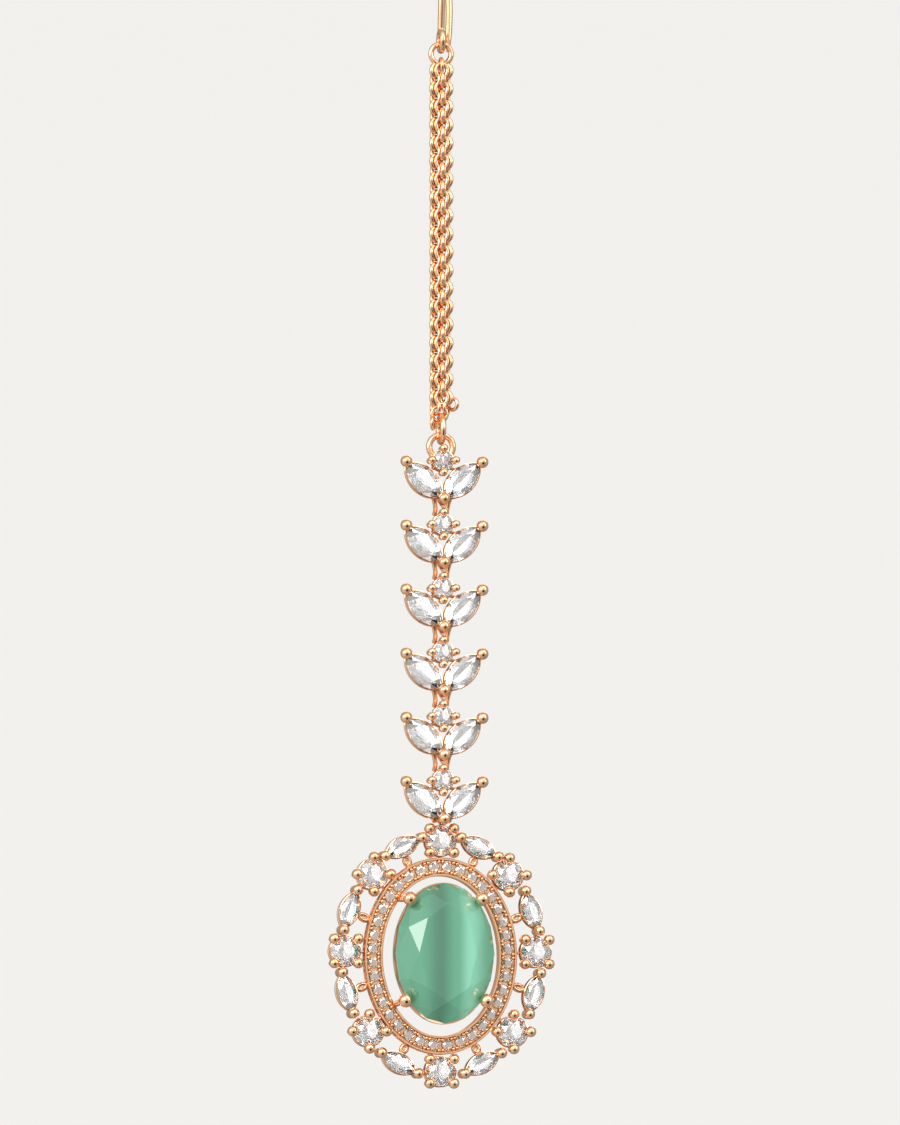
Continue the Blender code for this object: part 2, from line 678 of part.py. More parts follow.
def basket_pieces():
    # Four sloping stems with balls, and the rail that carries the main stone
    pieces = []
    rail_low = MAIN_RAIL_DROP + MAIN_STEM_WIRE
    corners = (
        (MAIN_RAIL_PROUD, -MAIN_RAIL_DROP), (MAIN_RAIL_PROUD, -rail_low),
        (-MAIN_RAIL_INSIDE, -rail_low), (0.0, -MAIN_RAIL_DROP),
    )
    rail = ring_mesh([
        (oval_outline(MAIN_WIDTH / 2, MAIN_HEIGHT / 2, BAND_POINTS // 2, grow), height)
        for grow, height in corners
    ])
    pieces.append((rail, facing(0.0, -MAIN_RAISE, MAIN_RISE)))
    aside = MAIN_STEM_WIRE / 2 + STONE_GAP
    slope = math.atan2(MAIN_CROWN, 0.5 * MAIN_WIDTH * (1 - MAIN_TABLE_ACROSS))
    height = (MAIN_BALL / 2 + STONE_GAP - aside * math.sin(slope)) / math.cos(slope)
    ball = ball_mesh(MAIN_BALL / 2)
    inside = STEM_FOOT_SHARE * BAND_WIDTH
    upper, lower = MAIN_UPPER_PRONG, MAIN_LOWER_PRONG
    for angle in (upper, math.pi - upper, math.pi + lower, -lower):
        x = (MAIN_WIDTH / 2 + aside) * math.cos(angle)
        z = (MAIN_HEIGHT / 2 + aside) * math.sin(angle) + MAIN_RISE
        top = Vector((x, -MAIN_RAISE - height, z))
        # The stem leans aside to the band's inner edge: its foot is on an oval a little inside the band
        foot_x = x + math.copysign(MAIN_STEM_ASIDE, x)
        along = math.sqrt(1.0 - (foot_x / (BAND_HALF_WIDTH - inside)) ** 2)
        foot = Vector((foot_x, 0.55 * HALO_COLLET, math.copysign((BAND_HALF_HEIGHT - inside) * along, z)))
        on_rail = Vector((x, MAIN_RAIL_DROP + MAIN_STEM_WIRE / 2 - MAIN_RAISE, z))
        pieces.append((ball, Matrix.Translation(top) @ Matrix.Rotation(math.pi / 2, 4, "X")))
        pieces.append((wire_mesh([top, on_rail, foot], MAIN_STEM_WIRE), Matrix.Identity(4)))
    return pieces


def ball_mesh(radius):
    levels = [math.pi * k / 5 for k in range(6)]
    profile = [(radius * math.sin(a), radius * math.cos(a)) for a in levels]
    profile[0] = (0.0, radius)
    profile[-1] = (0.0, -radius)
    return turned_mesh(profile, 8)


def pendant_mesh():
    # Band with its small stones, halo, basket and the eye at the top, all one casting
    pieces = [(band_mesh(), facing(0.0, 0.0, 0.0))]
    stone = pave_mesh()
    for x, z, turn in oval_stations(BAND_HALF_WIDTH, BAND_HALF_HEIGHT, PAVE_STONES):
        pieces.append((stone, facing(x, 0.0, z, turn)))
    pieces += halo_pieces()
    pieces += basket_pieces()
    pieces.append(eye_piece(0.0, HALO_HALF_HEIGHT + HALO_EYE_RISE))
    return solder(pieces)


def build_hanger(jewel, gold):
    edge_on = Matrix.Rotation(math.pi / 2, 4, "Y")
    smooth(add_object("hook", hook_mesh(), Matrix.Identity(4), jewel, gold))
    ring = link_mesh(TOP_RING_RADIUS, TOP_RING_WIRE)
    smooth(add_object("top_ring", ring, facing(0.0, 0.0, TOP_RING_Z), jewel, gold))
    smooth(add_object("chain", chain_mesh(), Matrix.Identity(4), jewel, gold))
    ring = link_mesh(JUMP_RING_RADIUS, JUMP_RING_WIRE)
    place = Matrix.Translation((0.0, 0.0, JUMP_RING_Z)) @ edge_on
    smooth(add_object("jump_ring", ring, place, jewel, gold))


def build_stem(jewel, gold, clear):
    middle = leaf_unit_mesh(first=False, last=False)
    meshes = [leaf_unit_mesh(first=True, last=False)] + [middle] * (LEAF_UNITS - 2)
    meshes.append(leaf_unit_mesh(first=False, last=True))
    round_stone = round_stone_mesh(STEM_ROUND)
    leaf_stone = leaf_stone_mesh(LEAF_LENGTH, LEAF_WIDTH)
    for k, mesh in enumerate(meshes):
        place = Matrix.Translation((0.0, 0.0, FIRST_BALL_Z - k * LEAF_PITCH))
        number = k + 1
        smooth(add_object(f"leaf_unit_{number}", mesh, place, jewel, gold))
        seat = place @ facing(0.0, -LEAF_GIRDLE_FRONT, STEM_ROUND_RISE)
        add_object(f"stem_round_{number}", round_stone, seat, jewel, clear)
        add_object(f"leaf_stone_right_{number}", leaf_stone, place @ leaf_place(1), jewel, clear)
        add_object(f"leaf_stone_left_{number}", leaf_stone, place @ leaf_place(-1), jewel, clear)


def build_pendant(jewel, gold, clear, green):
    # Everything of the pendant hangs on an empty at its hinge, the cross bar of the last leaf link
    hinge = Vector((0.0, HINGE_BACK, PENDANT_Z + HALO_HALF_HEIGHT + HALO_EYE_RISE))
    swing = bpy.data.objects.new("pendant_hinge", None)
    swing.location = hinge
    jewel.objects.link(swing)
    centre = Matrix.Translation(Vector((0.0, 0.0, PENDANT_Z)) - hinge)
    parts = [("pendant_frame", pendant_mesh(), centre, gold)]
    round_stone = round_stone_mesh(HALO_ROUND)
    leaf_stone = leaf_stone_mesh(HALO_LEAF_LENGTH, HALO_LEAF_WIDTH)
    for k in range(HALO_ROUNDS):
        x, z = halo_point(halo_angle(2 * k))
        parts.append((f"halo_round_{k + 1}", round_stone, centre @ facing(x, 0.0, z), clear))
        x, z, turn = halo_leaf(k)
        parts.append((f"halo_leaf_{k + 1}", leaf_stone, centre @ facing(x, 0.0, z, turn), clear))
    parts.append(("main_stone", oval_stone_mesh(), centre @ facing(0.0, -MAIN_RAISE, MAIN_RISE), green))
    for name, mesh, place, material in parts:
        part = add_object(name, mesh, Matrix.Identity(4), jewel, material)
        part.parent = swing
        part.matrix_local = place
    smooth(bpy.data.objects["pendant_frame"])


def build_jewel():
    clear_scene()
    jewel = make_collection("forehead_jewel")
    gold, clear, green = rose_gold(), clear_stone(), green_stone()
    build_hanger(jewel, gold)
    build_stem(jewel, gold, clear)
    build_pendant(jewel, gold, clear, green)


build_jewel()
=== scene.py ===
import math

import bmesh
import bpy
import numpy as np
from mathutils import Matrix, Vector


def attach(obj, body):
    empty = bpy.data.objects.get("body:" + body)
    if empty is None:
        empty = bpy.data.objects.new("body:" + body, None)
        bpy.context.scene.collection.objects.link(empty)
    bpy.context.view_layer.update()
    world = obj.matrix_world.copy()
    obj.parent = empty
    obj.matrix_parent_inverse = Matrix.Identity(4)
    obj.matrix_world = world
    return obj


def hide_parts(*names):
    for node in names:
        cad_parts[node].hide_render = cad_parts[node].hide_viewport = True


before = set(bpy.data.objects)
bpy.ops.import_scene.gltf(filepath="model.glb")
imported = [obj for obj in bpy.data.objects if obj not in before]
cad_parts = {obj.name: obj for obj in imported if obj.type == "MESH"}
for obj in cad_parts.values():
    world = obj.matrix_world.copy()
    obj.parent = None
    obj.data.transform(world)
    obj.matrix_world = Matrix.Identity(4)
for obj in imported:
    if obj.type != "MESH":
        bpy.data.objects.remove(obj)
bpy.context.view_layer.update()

fullTurn = 2 * math.pi
mm = 0.001  # the jewel is worked out in millimetres and goes into the meshes in metres
linkGap = 0.08
stoneGap = 0.06
asDrawn = np.eye(3)[None]


# Surfaces: each is a pair of arrays, its points and its faces

def gridFaces(rows, columns, closeRows=False):
    # Four-cornered faces between neighbours on a grid numbered row by row; the columns always run round
    down = np.arange(rows if closeRows else rows - 1)
    row, column = (grid.ravel() for grid in np.meshgrid(down, np.arange(columns), indexing="ij"))
    nextRow = (row + 1) % rows
    nextColumn = (column + 1) % columns
    corners = (row * columns + column, row * columns + nextColumn,
               nextRow * columns + nextColumn, nextRow * columns + column)
    return np.stack(corners, axis=1)


def joined(surfaces):
    # One surface of several: the points are stacked, and each face number moves past the points before it
    counts = [len(points) for points, faces in surfaces]
    starts = np.concatenate(([0], np.cumsum(counts)[:-1]))
    points = np.concatenate([points for points, faces in surfaces])
    faces = np.concatenate([faces + start for (points_, faces), start in zip(surfaces, starts)])
    return points, faces


def copies(surface, turns, places):
    # A copy for each place: point = turn applied to the point, plus the place
    points, faces = surface
    places = np.atleast_2d(np.asarray(places, float))
    moved = np.einsum("kij,nj->kni", np.broadcast_to(turns, (len(places), 3, 3)), points) + places[:, None]
    starts = np.arange(len(places)) * len(points)
    numbered = faces[None] + starts[:, None, None]
    return moved.reshape(-1, 3), numbered.reshape(-1, faces.shape[1])


def facing(turn=0.0):
    # Turns for pieces drawn flat, so that their own up is up, their own Z comes to the front (-Y)
    # and they are turned by an angle in their plane
    turn = np.atleast_1d(np.asarray(turn, float))
    c, s, o = np.cos(turn), np.sin(turn), np.zeros(len(turn))
    rows = (np.stack((c, -s, o), 1), np.stack((o, o, o - 1), 1), np.stack((s, c, o), 1))
    return np.stack(rows, axis=1)


# The turn that stands a flat piece edge-on to the front
edgeOn = np.array([[[0.0, 0.0, 1.0], [0.0, 1.0, 0.0], [-1.0, 0.0, 0.0]]])


def turned(profile, sides):
    # A profile of (radius, height) turned round Z: x = radius cos a, y = radius sin a, z = height
    profile = np.asarray(profile, float)
    around = np.linspace(0, fullTurn, sides, endpoint=False)
    radius, height = profile[:, :1], profile[:, 1:]
    points = np.stack((radius * np.cos(around), radius * np.sin(around), height + 0 * around), axis=-1)
    return points.reshape(-1, 3), gridFaces(len(profile), sides)


def tube(path, radius, side, sides=12, closed=False):
    # A round section carried along a path: point = path + radius (cos a first + sin a second), where first
    # and second are square to the path; open ends are closed by a ring of no radius
    path = np.asarray(path, float)
    along = np.roll(path, -1, 0) - np.roll(path, 1, 0) if closed else np.gradient(path, axis=0)
    first = np.cross(along, side)
    first /= np.linalg.norm(first, axis=1, keepdims=True)
    second = np.cross(along, first)
    second /= np.linalg.norm(second, axis=1, keepdims=True)
    radius = np.broadcast_to(np.asarray(radius, float), len(path))
    if not closed:
        path, first, second = (np.vstack((a[:1], a, a[-1:])) for a in (path, first, second))
        radius = np.concatenate(([0.0], radius, [0.0]))
    around = np.linspace(0, fullTurn, sides, endpoint=False)
    section = np.cos(around)[:, None] * first[:, None] + np.sin(around)[:, None] * second[:, None]
    points = path[:, None] + radius[:, None, None] * section
    return points.reshape(-1, 3), gridFaces(len(path), sides, closed)


def rod(start, end, wire, sides=10):
    # A straight wire across or up the jewel, point = start + share (end - start), narrowed over a short
    # stretch at each end; the rows are the share of the way and the share of the wire
    stretch = np.array([(0.0, 0.7), (0.04, 1.0), (0.5, 1.0), (0.96, 1.0), (1.0, 0.7)])
    start, end = np.array(start, float), np.array(end, float)
    path = start + stretch[:, :1] * (end - start)
    return tube(path, 0.5 * wire * stretch[:, 1], np.array([0.0, 1.0, 0.0]), sides)


def link(radius, wire, steps=32, sides=10, stretch=1.0):
    # A link drawn flat: x = radius cos a, y = stretch radius sin a, with a round section carried along it
    around = np.linspace(0, fullTurn, steps, endpoint=False)
    path = np.stack((radius * np.cos(around), stretch * radius * np.sin(around), 0 * around), axis=1)
    return tube(path, wire / 2, np.array([0.0, 0.0, 1.0]), sides, closed=True)


def smoothPath(corners, steps):
    # A curve through the corners: each stretch is a cubic whose slope at a corner is half the way
    # from the corner before to the corner after
    p = np.array(corners, float)
    p = np.vstack((2 * p[0] - p[1], p, 2 * p[-1] - p[-2]))
    t = np.linspace(0, 1, steps, endpoint=False)[None, :, None]
    a, b, c, d = (p[k:len(p) - 3 + k, None] for k in range(4))
    path = 0.5 * (2 * b + (c - a) * t + (2 * a - 5 * b + 4 * c - d) * t**2 + (3 * b - a - 3 * c + d) * t**3)
    return np.vstack((path.reshape(-1, 3), p[-2]))


# Outlines: each gives (x, y) for a share of the way round and how far it is grown outwards

def ovalOutline(halfWidth, halfHeight):
    # x = (half width + grow) cos a, y = (half height + grow) sin a
    def outline(share, grow=0.0):
        angle = fullTurn * np.asarray(share)
        return np.stack(((halfWidth + grow) * np.cos(angle), (halfHeight + grow) * np.sin(angle)), axis=-1)
    return outline


def leafOutline(length, width):
    # Two equal arcs that meet in points on the X axis: x = r sin a, y = r cos a - off, the second one turned
    # half round; r = (length^2 + width^2) / (4 width), off = r - width / 2
    radius = (length**2 + width**2) / (4 * width)
    off = radius - width / 2

    def outline(share, grow=0.0):
        share = np.asarray(share) % 1.0
        second = share >= 0.5
        reach = np.arccos(off / (radius + grow))
        angle = reach * (1 - 4 * (share - 0.5 * second))
        x = (radius + grow) * np.sin(angle)
        y = (radius + grow) * np.cos(angle) - off
        sign = np.where(second, -1.0, 1.0)
        return np.stack((sign * x, sign * y), axis=-1)
    return outline


def wall(outline, profile, count):
    # A closed profile of (grow, height) carried round an outline
    profile = np.asarray(profile, float)
    share = np.arange(count) / count
    flat = outline(share[None, :], profile[:, :1])
    height = np.broadcast_to(profile[:, 1:], flat.shape[:2])
    points = np.concatenate((flat, height[..., None]), axis=-1)
    return points.reshape(-1, 3), gridFaces(len(profile), count, closeRows=True)


def cutStone(outline, crown, pavilion, tableOf, starRise=0.5, lowerRise=0.72, girdle=0.05, keel=0.0):
    # A brilliant cut on eight main facets. At each eighth k the crown's main facet is the plane through the
    # girdle point, its tangent and the table's corner; neighbours meet in star points at starRise of the
    # crown's height. Below, each main facet goes to the culet (or a keel's end), and neighbours meet at
    # lowerRise of the depth
    eighth = np.arange(8) / 8
    between = eighth + 1 / 16
    step = 0.001
    edge = outline(eighth)
    tangent = outline(eighth + step) - outline(eighth - step)
    flat = np.zeros((8, 1))
    top = np.hstack((edge, flat))
    bottom = top - (0, 0, girdle)
    middle = np.hstack((outline(between), flat))
    middleBottom = middle - (0, 0, girdle)
    tangent = np.hstack((tangent, flat))
    table = np.hstack((tableOf(eighth), flat + crown))
    culet = np.hstack((np.clip(edge[:, :1], -keel, keel), flat, flat - pavilion))

    def meet(points, targets, height):
        # Where the planes of neighbouring main facets cross at one height: two equations for x and y
        normal = np.cross(tangent, targets - points)
        reach = np.sum(normal * points, axis=1) - normal[:, 2] * height
        sides = np.stack((normal[:, :2], np.roll(normal, -1, 0)[:, :2]), axis=1)
        reaches = np.stack((reach, np.roll(reach, -1)), axis=1)
        return np.hstack((np.linalg.solve(sides, reaches[..., None])[..., 0], flat + height))

    star = meet(top, table, starRise * crown)
    lower = meet(bottom, culet, -girdle - lowerRise * (pavilion - girdle))
    points = np.vstack((table, star, top, middle, bottom, middleBottom, lower, culet))
    k = np.arange(8)
    n = (k + 1) % 8
    t, s, g, m, b, w, p, c = (k + 8 * ring for ring in range(8))
    tn, gn, bn, cn = (n + 8 * ring for ring in (0, 2, 4, 7))
    sb, pb = (s - 8 - 1) % 8 + 8, (p - 48 - 1) % 8 + 48
    tris = [
        (t[:6] * 0, t[1:7], t[2:8]), (t, tn, s), (t, s, g), (t, g, sb), (s, m, g), (s, gn, m),
        (g, m, w), (g, w, b), (m, gn, bn), (m, bn, w),
        (b, w, p), (w, bn, p), (b, p, c), (b, c, pb), (p, cn, c),
    ]
    faces = np.concatenate([np.stack(corners, axis=1) for corners in tris])
    return points, faces


# Pieces

def makePiece(name, surface, finish, body, nodes, softAngle=None):
    # Puts a surface into a mesh, closes its poles and points it outwards, then says what it rides on and
    # which solids it stands for
    points, faces = surface
    mesh = bpy.data.meshes.new(name)
    mesh.from_pydata((points * mm).tolist(), [], faces.tolist())
    shape = bmesh.new()
    shape.from_mesh(mesh)
    bmesh.ops.remove_doubles(shape, verts=shape.verts, dist=2e-8)
    bmesh.ops.recalc_face_normals(shape, faces=shape.faces)
    shape.to_mesh(mesh)
    shape.free()
    if softAngle:
        mesh.shade_smooth()
        mesh.set_sharp_from_angle(angle=math.radians(softAngle))
    mesh.materials.append(finish)
    piece = bpy.data.objects.new(name, mesh)
    bpy.context.scene.collection.objects.link(piece)
    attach(piece, body)
    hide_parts(*nodes)
    print(f"{name}: {len(mesh.polygons)} faces")


# Finishes

def newFinish(name):
    finish = bpy.data.materials.new(name)
    finish.use_nodes = True
    tree = finish.node_tree
    return finish, tree, tree.nodes["Principled BSDF"]


def addNoise(tree, size, detail=2.0):
    # Cloudy noise on the object's own coordinates, its clouds about this size in millimetres
    place = tree.nodes.new("ShaderNodeTexCoord")
    noise = tree.nodes.new("ShaderNodeTexNoise")
    noise.inputs["Scale"].default_value = 1 / (size * mm)
    noise.inputs["Detail"].default_value = detail
    tree.links.new(place.outputs["Object"], noise.inputs["Vector"])
    return noise.outputs["Fac"]


def addRamp(tree, factor, stops, between="LINEAR"):
    ramp = tree.nodes.new("ShaderNodeValToRGB")
    ramp.color_ramp.interpolation = between
    elements = ramp.color_ramp.elements
    for element, (position, color) in zip(elements, (stops[0], stops[-1])):
        element.position, element.color = position, (*color, 1.0)
    for position, color in stops[1:-1]:
        elements.new(position).color = (*color, 1.0)
    tree.links.new(factor, ramp.inputs["Fac"])
    return ramp.outputs["Color"]


def addRange(tree, factor, low, high):
    spread = tree.nodes.new("ShaderNodeMapRange")
    spread.inputs["To Min"].default_value = low
    spread.inputs["To Max"].default_value = high
    tree.links.new(factor, spread.inputs["Value"])
    return spread.outputs["Result"]


def roseGold():
    # Polished metal: slow clouds of a deeper and a lighter tone, painted shade of a darker, redder tone in
    # the corners and recesses, and a polish that is not quite even
    look = {
        "deep": (0.90, 0.52, 0.29), "light": (0.95, 0.62, 0.39), "cloudSize": 2.0,
        # painted shade in corners and recesses: its redder colour, how far the occlusion reaches and its
        # samples
        "corner": (0.81, 0.42, 0.18), "cornerSize": 0.3, "cornerSamples": 6,
        "dullness": (0.05, 0.10), "polishSize": 0.5,
    }
    finish, tree, shader = newFinish("polished rose gold")
    shader.inputs["Metallic"].default_value = 1.0
    clouds = addNoise(tree, look["cloudSize"], 3.0)
    tone = addRamp(tree, clouds, ((0.35, look["deep"]), (0.65, look["light"])))
    # Painted shade: ambient occlusion mixes the darker, redder colour in where surfaces crowd together and
    # shade falls
    corner = tree.nodes.new("ShaderNodeAmbientOcclusion")
    corner.samples = look["cornerSamples"]
    corner.inputs["Distance"].default_value = look["cornerSize"] * mm
    mix = tree.nodes.new("ShaderNodeMix")
    mix.data_type = "RGBA"
    mix.inputs["A"].default_value = (*look["corner"], 1.0)
    tree.links.new(corner.outputs["AO"], mix.inputs["Factor"])
    tree.links.new(tone, mix.inputs["B"])
    tree.links.new(mix.outputs["Result"], shader.inputs["Base Color"])
    polish = addNoise(tree, look["polishSize"], 2.0)
    tree.links.new(addRange(tree, polish, *look["dullness"]), shader.inputs["Roughness"])
    return finish


def clearStone(name, clearness, foil):
    # Bright cut stone: it lets light through, and a share of it mirrors as a foiled stone does
    look = {"cool": (0.95, 0.96, 0.98), "warm": (1.0, 0.99, 0.98), "veilSize": 1.2, "ior": 1.6}
    finish, tree, shader = newFinish(name)
    veil = addNoise(tree, look["veilSize"], 1.0)
    veilColor = addRamp(tree, veil, ((0.3, look["cool"]), (0.7, look["warm"])))
    tree.links.new(veilColor, shader.inputs["Base Color"])
    shader.inputs["Roughness"].default_value = 0.0
    shader.inputs["IOR"].default_value = look["ior"]
    shader.inputs["Transmission Weight"].default_value = clearness
    shader.inputs["Metallic"].default_value = foil
    return finish


def greenStone():
    # Milky stone: a painted dark band of shade and a painted bright sheen beside it across its width, under a
    # clear polish
    look = {
        # deep is the colour of the painted dark band of shade; the bright colour beside it is a painted sheen
        "deep": (0.055, 0.21, 0.13), "body": (0.10, 0.36, 0.22), "paintedSheen": (0.23, 0.60, 0.43), "width": 9.0,
        "clearness": 0.12, "scatter": 0.25, "scatterReach": 2.0, "scatterColor": (0.6, 1.0, 0.8),
        "ior": 1.6, "dullness": (0.02, 0.08), "cloudSize": 3.0, "polish": 0.02,
    }
    finish, tree, shader = newFinish("milky green stone")
    place = tree.nodes.new("ShaderNodeTexCoord")
    split = tree.nodes.new("ShaderNodeSeparateXYZ")
    tree.links.new(place.outputs["Object"], split.inputs["Vector"])
    across = tree.nodes.new("ShaderNodeMapRange")
    across.inputs["From Min"].default_value = -0.5 * look["width"] * mm
    across.inputs["From Max"].default_value = 0.5 * look["width"] * mm
    tree.links.new(split.outputs["X"], across.inputs["Value"])
    # Colour across X: body, the deep painted shade band, body, the bright painted sheen band, body
    stops = ((0.0, look["body"]), (0.2, look["body"]), (0.42, look["deep"]), (0.6, look["body"]),
             (0.76, look["paintedSheen"]), (1.0, look["body"]))
    tree.links.new(addRamp(tree, across.outputs["Result"], stops, "EASE"), shader.inputs["Base Color"])
    shader.inputs["IOR"].default_value = look["ior"]
    shader.inputs["Transmission Weight"].default_value = look["clearness"]
    shader.inputs["Subsurface Weight"].default_value = look["scatter"]
    shader.inputs["Subsurface Scale"].default_value = look["scatterReach"] * mm
    shader.inputs["Subsurface Radius"].default_value = look["scatterColor"]
    clouds = addNoise(tree, look["cloudSize"])
    tree.links.new(addRange(tree, clouds, *look["dullness"]), shader.inputs["Roughness"])
    shader.inputs["Coat Weight"].default_value = 1.0
    shader.inputs["Coat Roughness"].default_value = look["polish"]
    return finish


gold, green = roseGold(), greenStone()
clear = clearStone("clear cut stone", clearness=1.0, foil=0.4)
smallClear = clearStone("small bright stone", clearness=0.9, foil=0.4)


# Hanging parts, from the hook's bend down

hook = {
    "wire": 0.65, "shankWire": 0.72, "bendGap": 3.0, "length": 18.8, "eyeRadius": 1.0, "tipAside": 1.1,
    # corners of the curve as shares of (aside, half the bend, length): one on the shank, three down the back
    "shank": (0.0, -0.35, 0.25), "back": ((0.5, 1.05, -0.45), (1.0, 0.9, -0.78), (0.85, 0.8, -1.05)),
    "taper": (1.0, 0.97, 0.9, 0.75, 0.5),  # the last steps of the tip
}
topRing = {"radius": 1.025, "wire": 0.55}
jumpRing = {"radius": 1.32, "wire": 0.62}
loopRing = {"radius": 1.2, "wire": 0.64}
chain = {
    "length": 34.3, "endWire": 0.4, "pitch": 1.83, "firstLink": 0.25, "endAside": -0.17, "stretch": 1.2,
    "strands": (
        {"x": 0.0, "y": -0.35, "turn": 0.0, "links": 37, "radius": 0.58, "wire": 0.47},
        {"x": -0.54, "y": 0.05, "turn": 0.55, "links": 38, "radius": 0.57, "wire": 0.43},
        {"x": 0.54, "y": 0.05, "turn": -0.55, "links": 38, "radius": 0.57, "wire": 0.43},
    ),
    "loose": (
        {"x": 1.2, "y": 0.0, "z": -55.4, "turn": -0.85},
        {"x": -0.8, "y": 0.1, "z": -57.3, "turn": 1.2},
    ),
    "looseRadius": 0.56, "looseWire": 0.4,
}

eyeZ = -hook["length"]
topRingZ = eyeZ - hook["eyeRadius"] + (hook["wire"] + topRing["wire"]) / 2 + linkGap - topRing["radius"]
chainTop = topRingZ - topRing["radius"] - topRing["wire"] / 2 - 2 * linkGap
chainBottom = chainTop - chain["length"]
upperLinkRadius = (topRing["wire"] + 3 * linkGap + chain["endWire"]) / 2 + 0.35 * chain["endWire"]
upperLinkZ = (
    topRingZ - topRing["radius"] + (topRing["wire"] + chain["endWire"]) / 2 + linkGap - upperLinkRadius
)
lowerLinkRadius = (jumpRing["wire"] + 3 * linkGap + chain["endWire"]) / 2 + 0.35 * chain["endWire"]
lowerLinkZ = chainBottom + 0.7 * chain["endWire"] - lowerLinkRadius
jumpRingZ = (
    lowerLinkZ - lowerLinkRadius + (chain["endWire"] + jumpRing["wire"]) / 2 + linkGap - jumpRing["radius"]
)
loopRingZ = (
    jumpRingZ - jumpRing["radius"] + (jumpRing["wire"] + loopRing["wire"]) / 2 + linkGap - loopRing["radius"]
)


def hookSurface():
    # The wire's path: up from the eye, over a half circle and down the back to a tip that stands aside
    bend = hook["bendGap"] / 2 + hook["wire"] / 2
    eyeTop = np.array((0.0, 0.0, eyeZ + hook["eyeRadius"]))
    over = np.linspace(0, math.pi, 9)
    arc = np.stack((0 * over, -bend * np.cos(over), hook["wire"] / 2 - bend + bend * np.sin(over)), axis=1)
    scale = np.array((hook["tipAside"], bend, hook["length"]))
    corners = np.vstack((eyeTop, eyeTop + scale * hook["shank"], arc, scale * hook["back"]))
    path = smoothPath(corners, 8)
    radius = np.full(len(path), hook["shankWire"] / 2)
    radius[-len(hook["taper"]):] *= hook["taper"]
    shank = tube(path, radius, np.array([1.0, 0.0, 0.0]), 16)
    eye = copies(link(hook["eyeRadius"], hook["wire"], 48, 16), edgeOn, (0, 0, eyeZ))
    return joined((shank, eye))


def hanging(turn):
    # Turns for links drawn flat that hang upright and are turned about their own length
    c, s, o = np.cos(turn), np.sin(turn), 0.0 * turn
    rows = (np.stack((c, o, -s), 1), np.stack((s, o, c), 1), np.stack((o, o - 1, o), 1))
    return np.stack(rows, axis=1)


def strandLinks(strand):
    # A strand of round links under each other, one half pitch apart, each turned a quarter from the last;
    # the strand's turn about its own length opens its side links towards the front
    k = np.arange(strand["links"])
    z = chainTop - chain["firstLink"] - k * chain["pitch"] / 2
    turn = strand["turn"] + np.where(k % 2 == 0, 0.0, math.pi / 2)
    places = np.stack((strand["x"] + 0 * z, strand["y"] + 0 * z, z), axis=1)
    drawn = link(strand["radius"], strand["wire"], 20, 8, chain["stretch"])
    return copies(drawn, hanging(turn), places)


def chainSurface():
    surfaces = [strandLinks(strand) for strand in chain["strands"]]
    surfaces.append(copies(link(upperLinkRadius, chain["endWire"], 32, 12), edgeOn, (0, 0, upperLinkZ)))
    lowerPlace = (chain["endAside"], 0, lowerLinkZ)
    surfaces.append(copies(link(lowerLinkRadius, chain["endWire"], 32, 12), facing(), lowerPlace))
    for loose in chain["loose"]:
        place = (loose["x"], loose["y"], loose["z"])
        ring = link(chain["looseRadius"], chain["looseWire"], 24, 10)
        surfaces.append(copies(ring, hanging(np.array([loose["turn"]])), place))
    return joined(surfaces)


makePiece("hookWire", hookSurface(), gold, "suspension", ["hook"], 50)
ringSurface = copies(link(topRing["radius"], topRing["wire"], 48, 16), facing(), (0, 0, topRingZ))
makePiece("topRingWire", ringSurface, gold, "suspension", ["top_ring"], 50)
ringSurface = copies(link(jumpRing["radius"], jumpRing["wire"], 48, 16), edgeOn, (0, 0, jumpRingZ))
makePiece("jumpRingWire", ringSurface, gold, "suspension", ["jump_ring"], 50)
makePiece("chainLinks", chainSurface(), gold, "suspension", ["chain"], 50)
print("hook, rings and chain done")


# Settings shared by the stem and the pendant

setting = {
    "proud": 0.1, "foot": 0.28, "aside": 0.21,
    # a prong: how far the ball goes round, then (radius, drop below the ball's centre) and the post's radius
    # as shares of the ball's radius, then the depths of the post's top and end as shares of the setting's
    "ballArc": math.radians(132), "pinch": (0.74, 0.78), "shoulder": (0.8, 0.95),
    "post": 0.7, "postTop": 0.25, "postEnd": 0.88,
}
cut = {
    "table": 0.56, "crown": 0.16, "pavilion": 0.42, "girdle": 0.02,  # shares of a stone's width
    "leafTable": 0.68, "leafKeel": 0.25, "leafGirdle": 0.04,  # shares of a leaf's length, and millimetres
}
crownSlope = math.atan2(cut["crown"], 0.5 * (1 - cut["table"]))
hinge = {"back": 0.35, "bar": 0.3, "eyeWire": 0.26, "eyeSteps": 8}
eyeRadius = (hinge["bar"] / 2 + linkGap + hinge["eyeWire"] / 2) / math.cos(math.pi / hinge["eyeSteps"])


def galleryProfile(depth):
    # The wall under a stone, as rows of (grow, height): a bearing edge, a groove between two rails and a
    # thicker foot
    proud, foot = setting["proud"], setting["foot"]
    return (
        (0.3 * proud, 0.02), (0.8 * proud, 0.0), (proud, -0.06), (proud, -0.28 * depth),
        (0.2 * proud, -0.34 * depth), (0.2 * proud, -0.62 * depth),
        (proud, -0.68 * depth), (proud, -0.95 * depth), (0.6 * proud, -depth), (-0.8 * foot, -depth),
        (-foot, -0.92 * depth), (-0.7 * foot, -0.6 * depth), (-0.1, -0.2 * depth),
    )


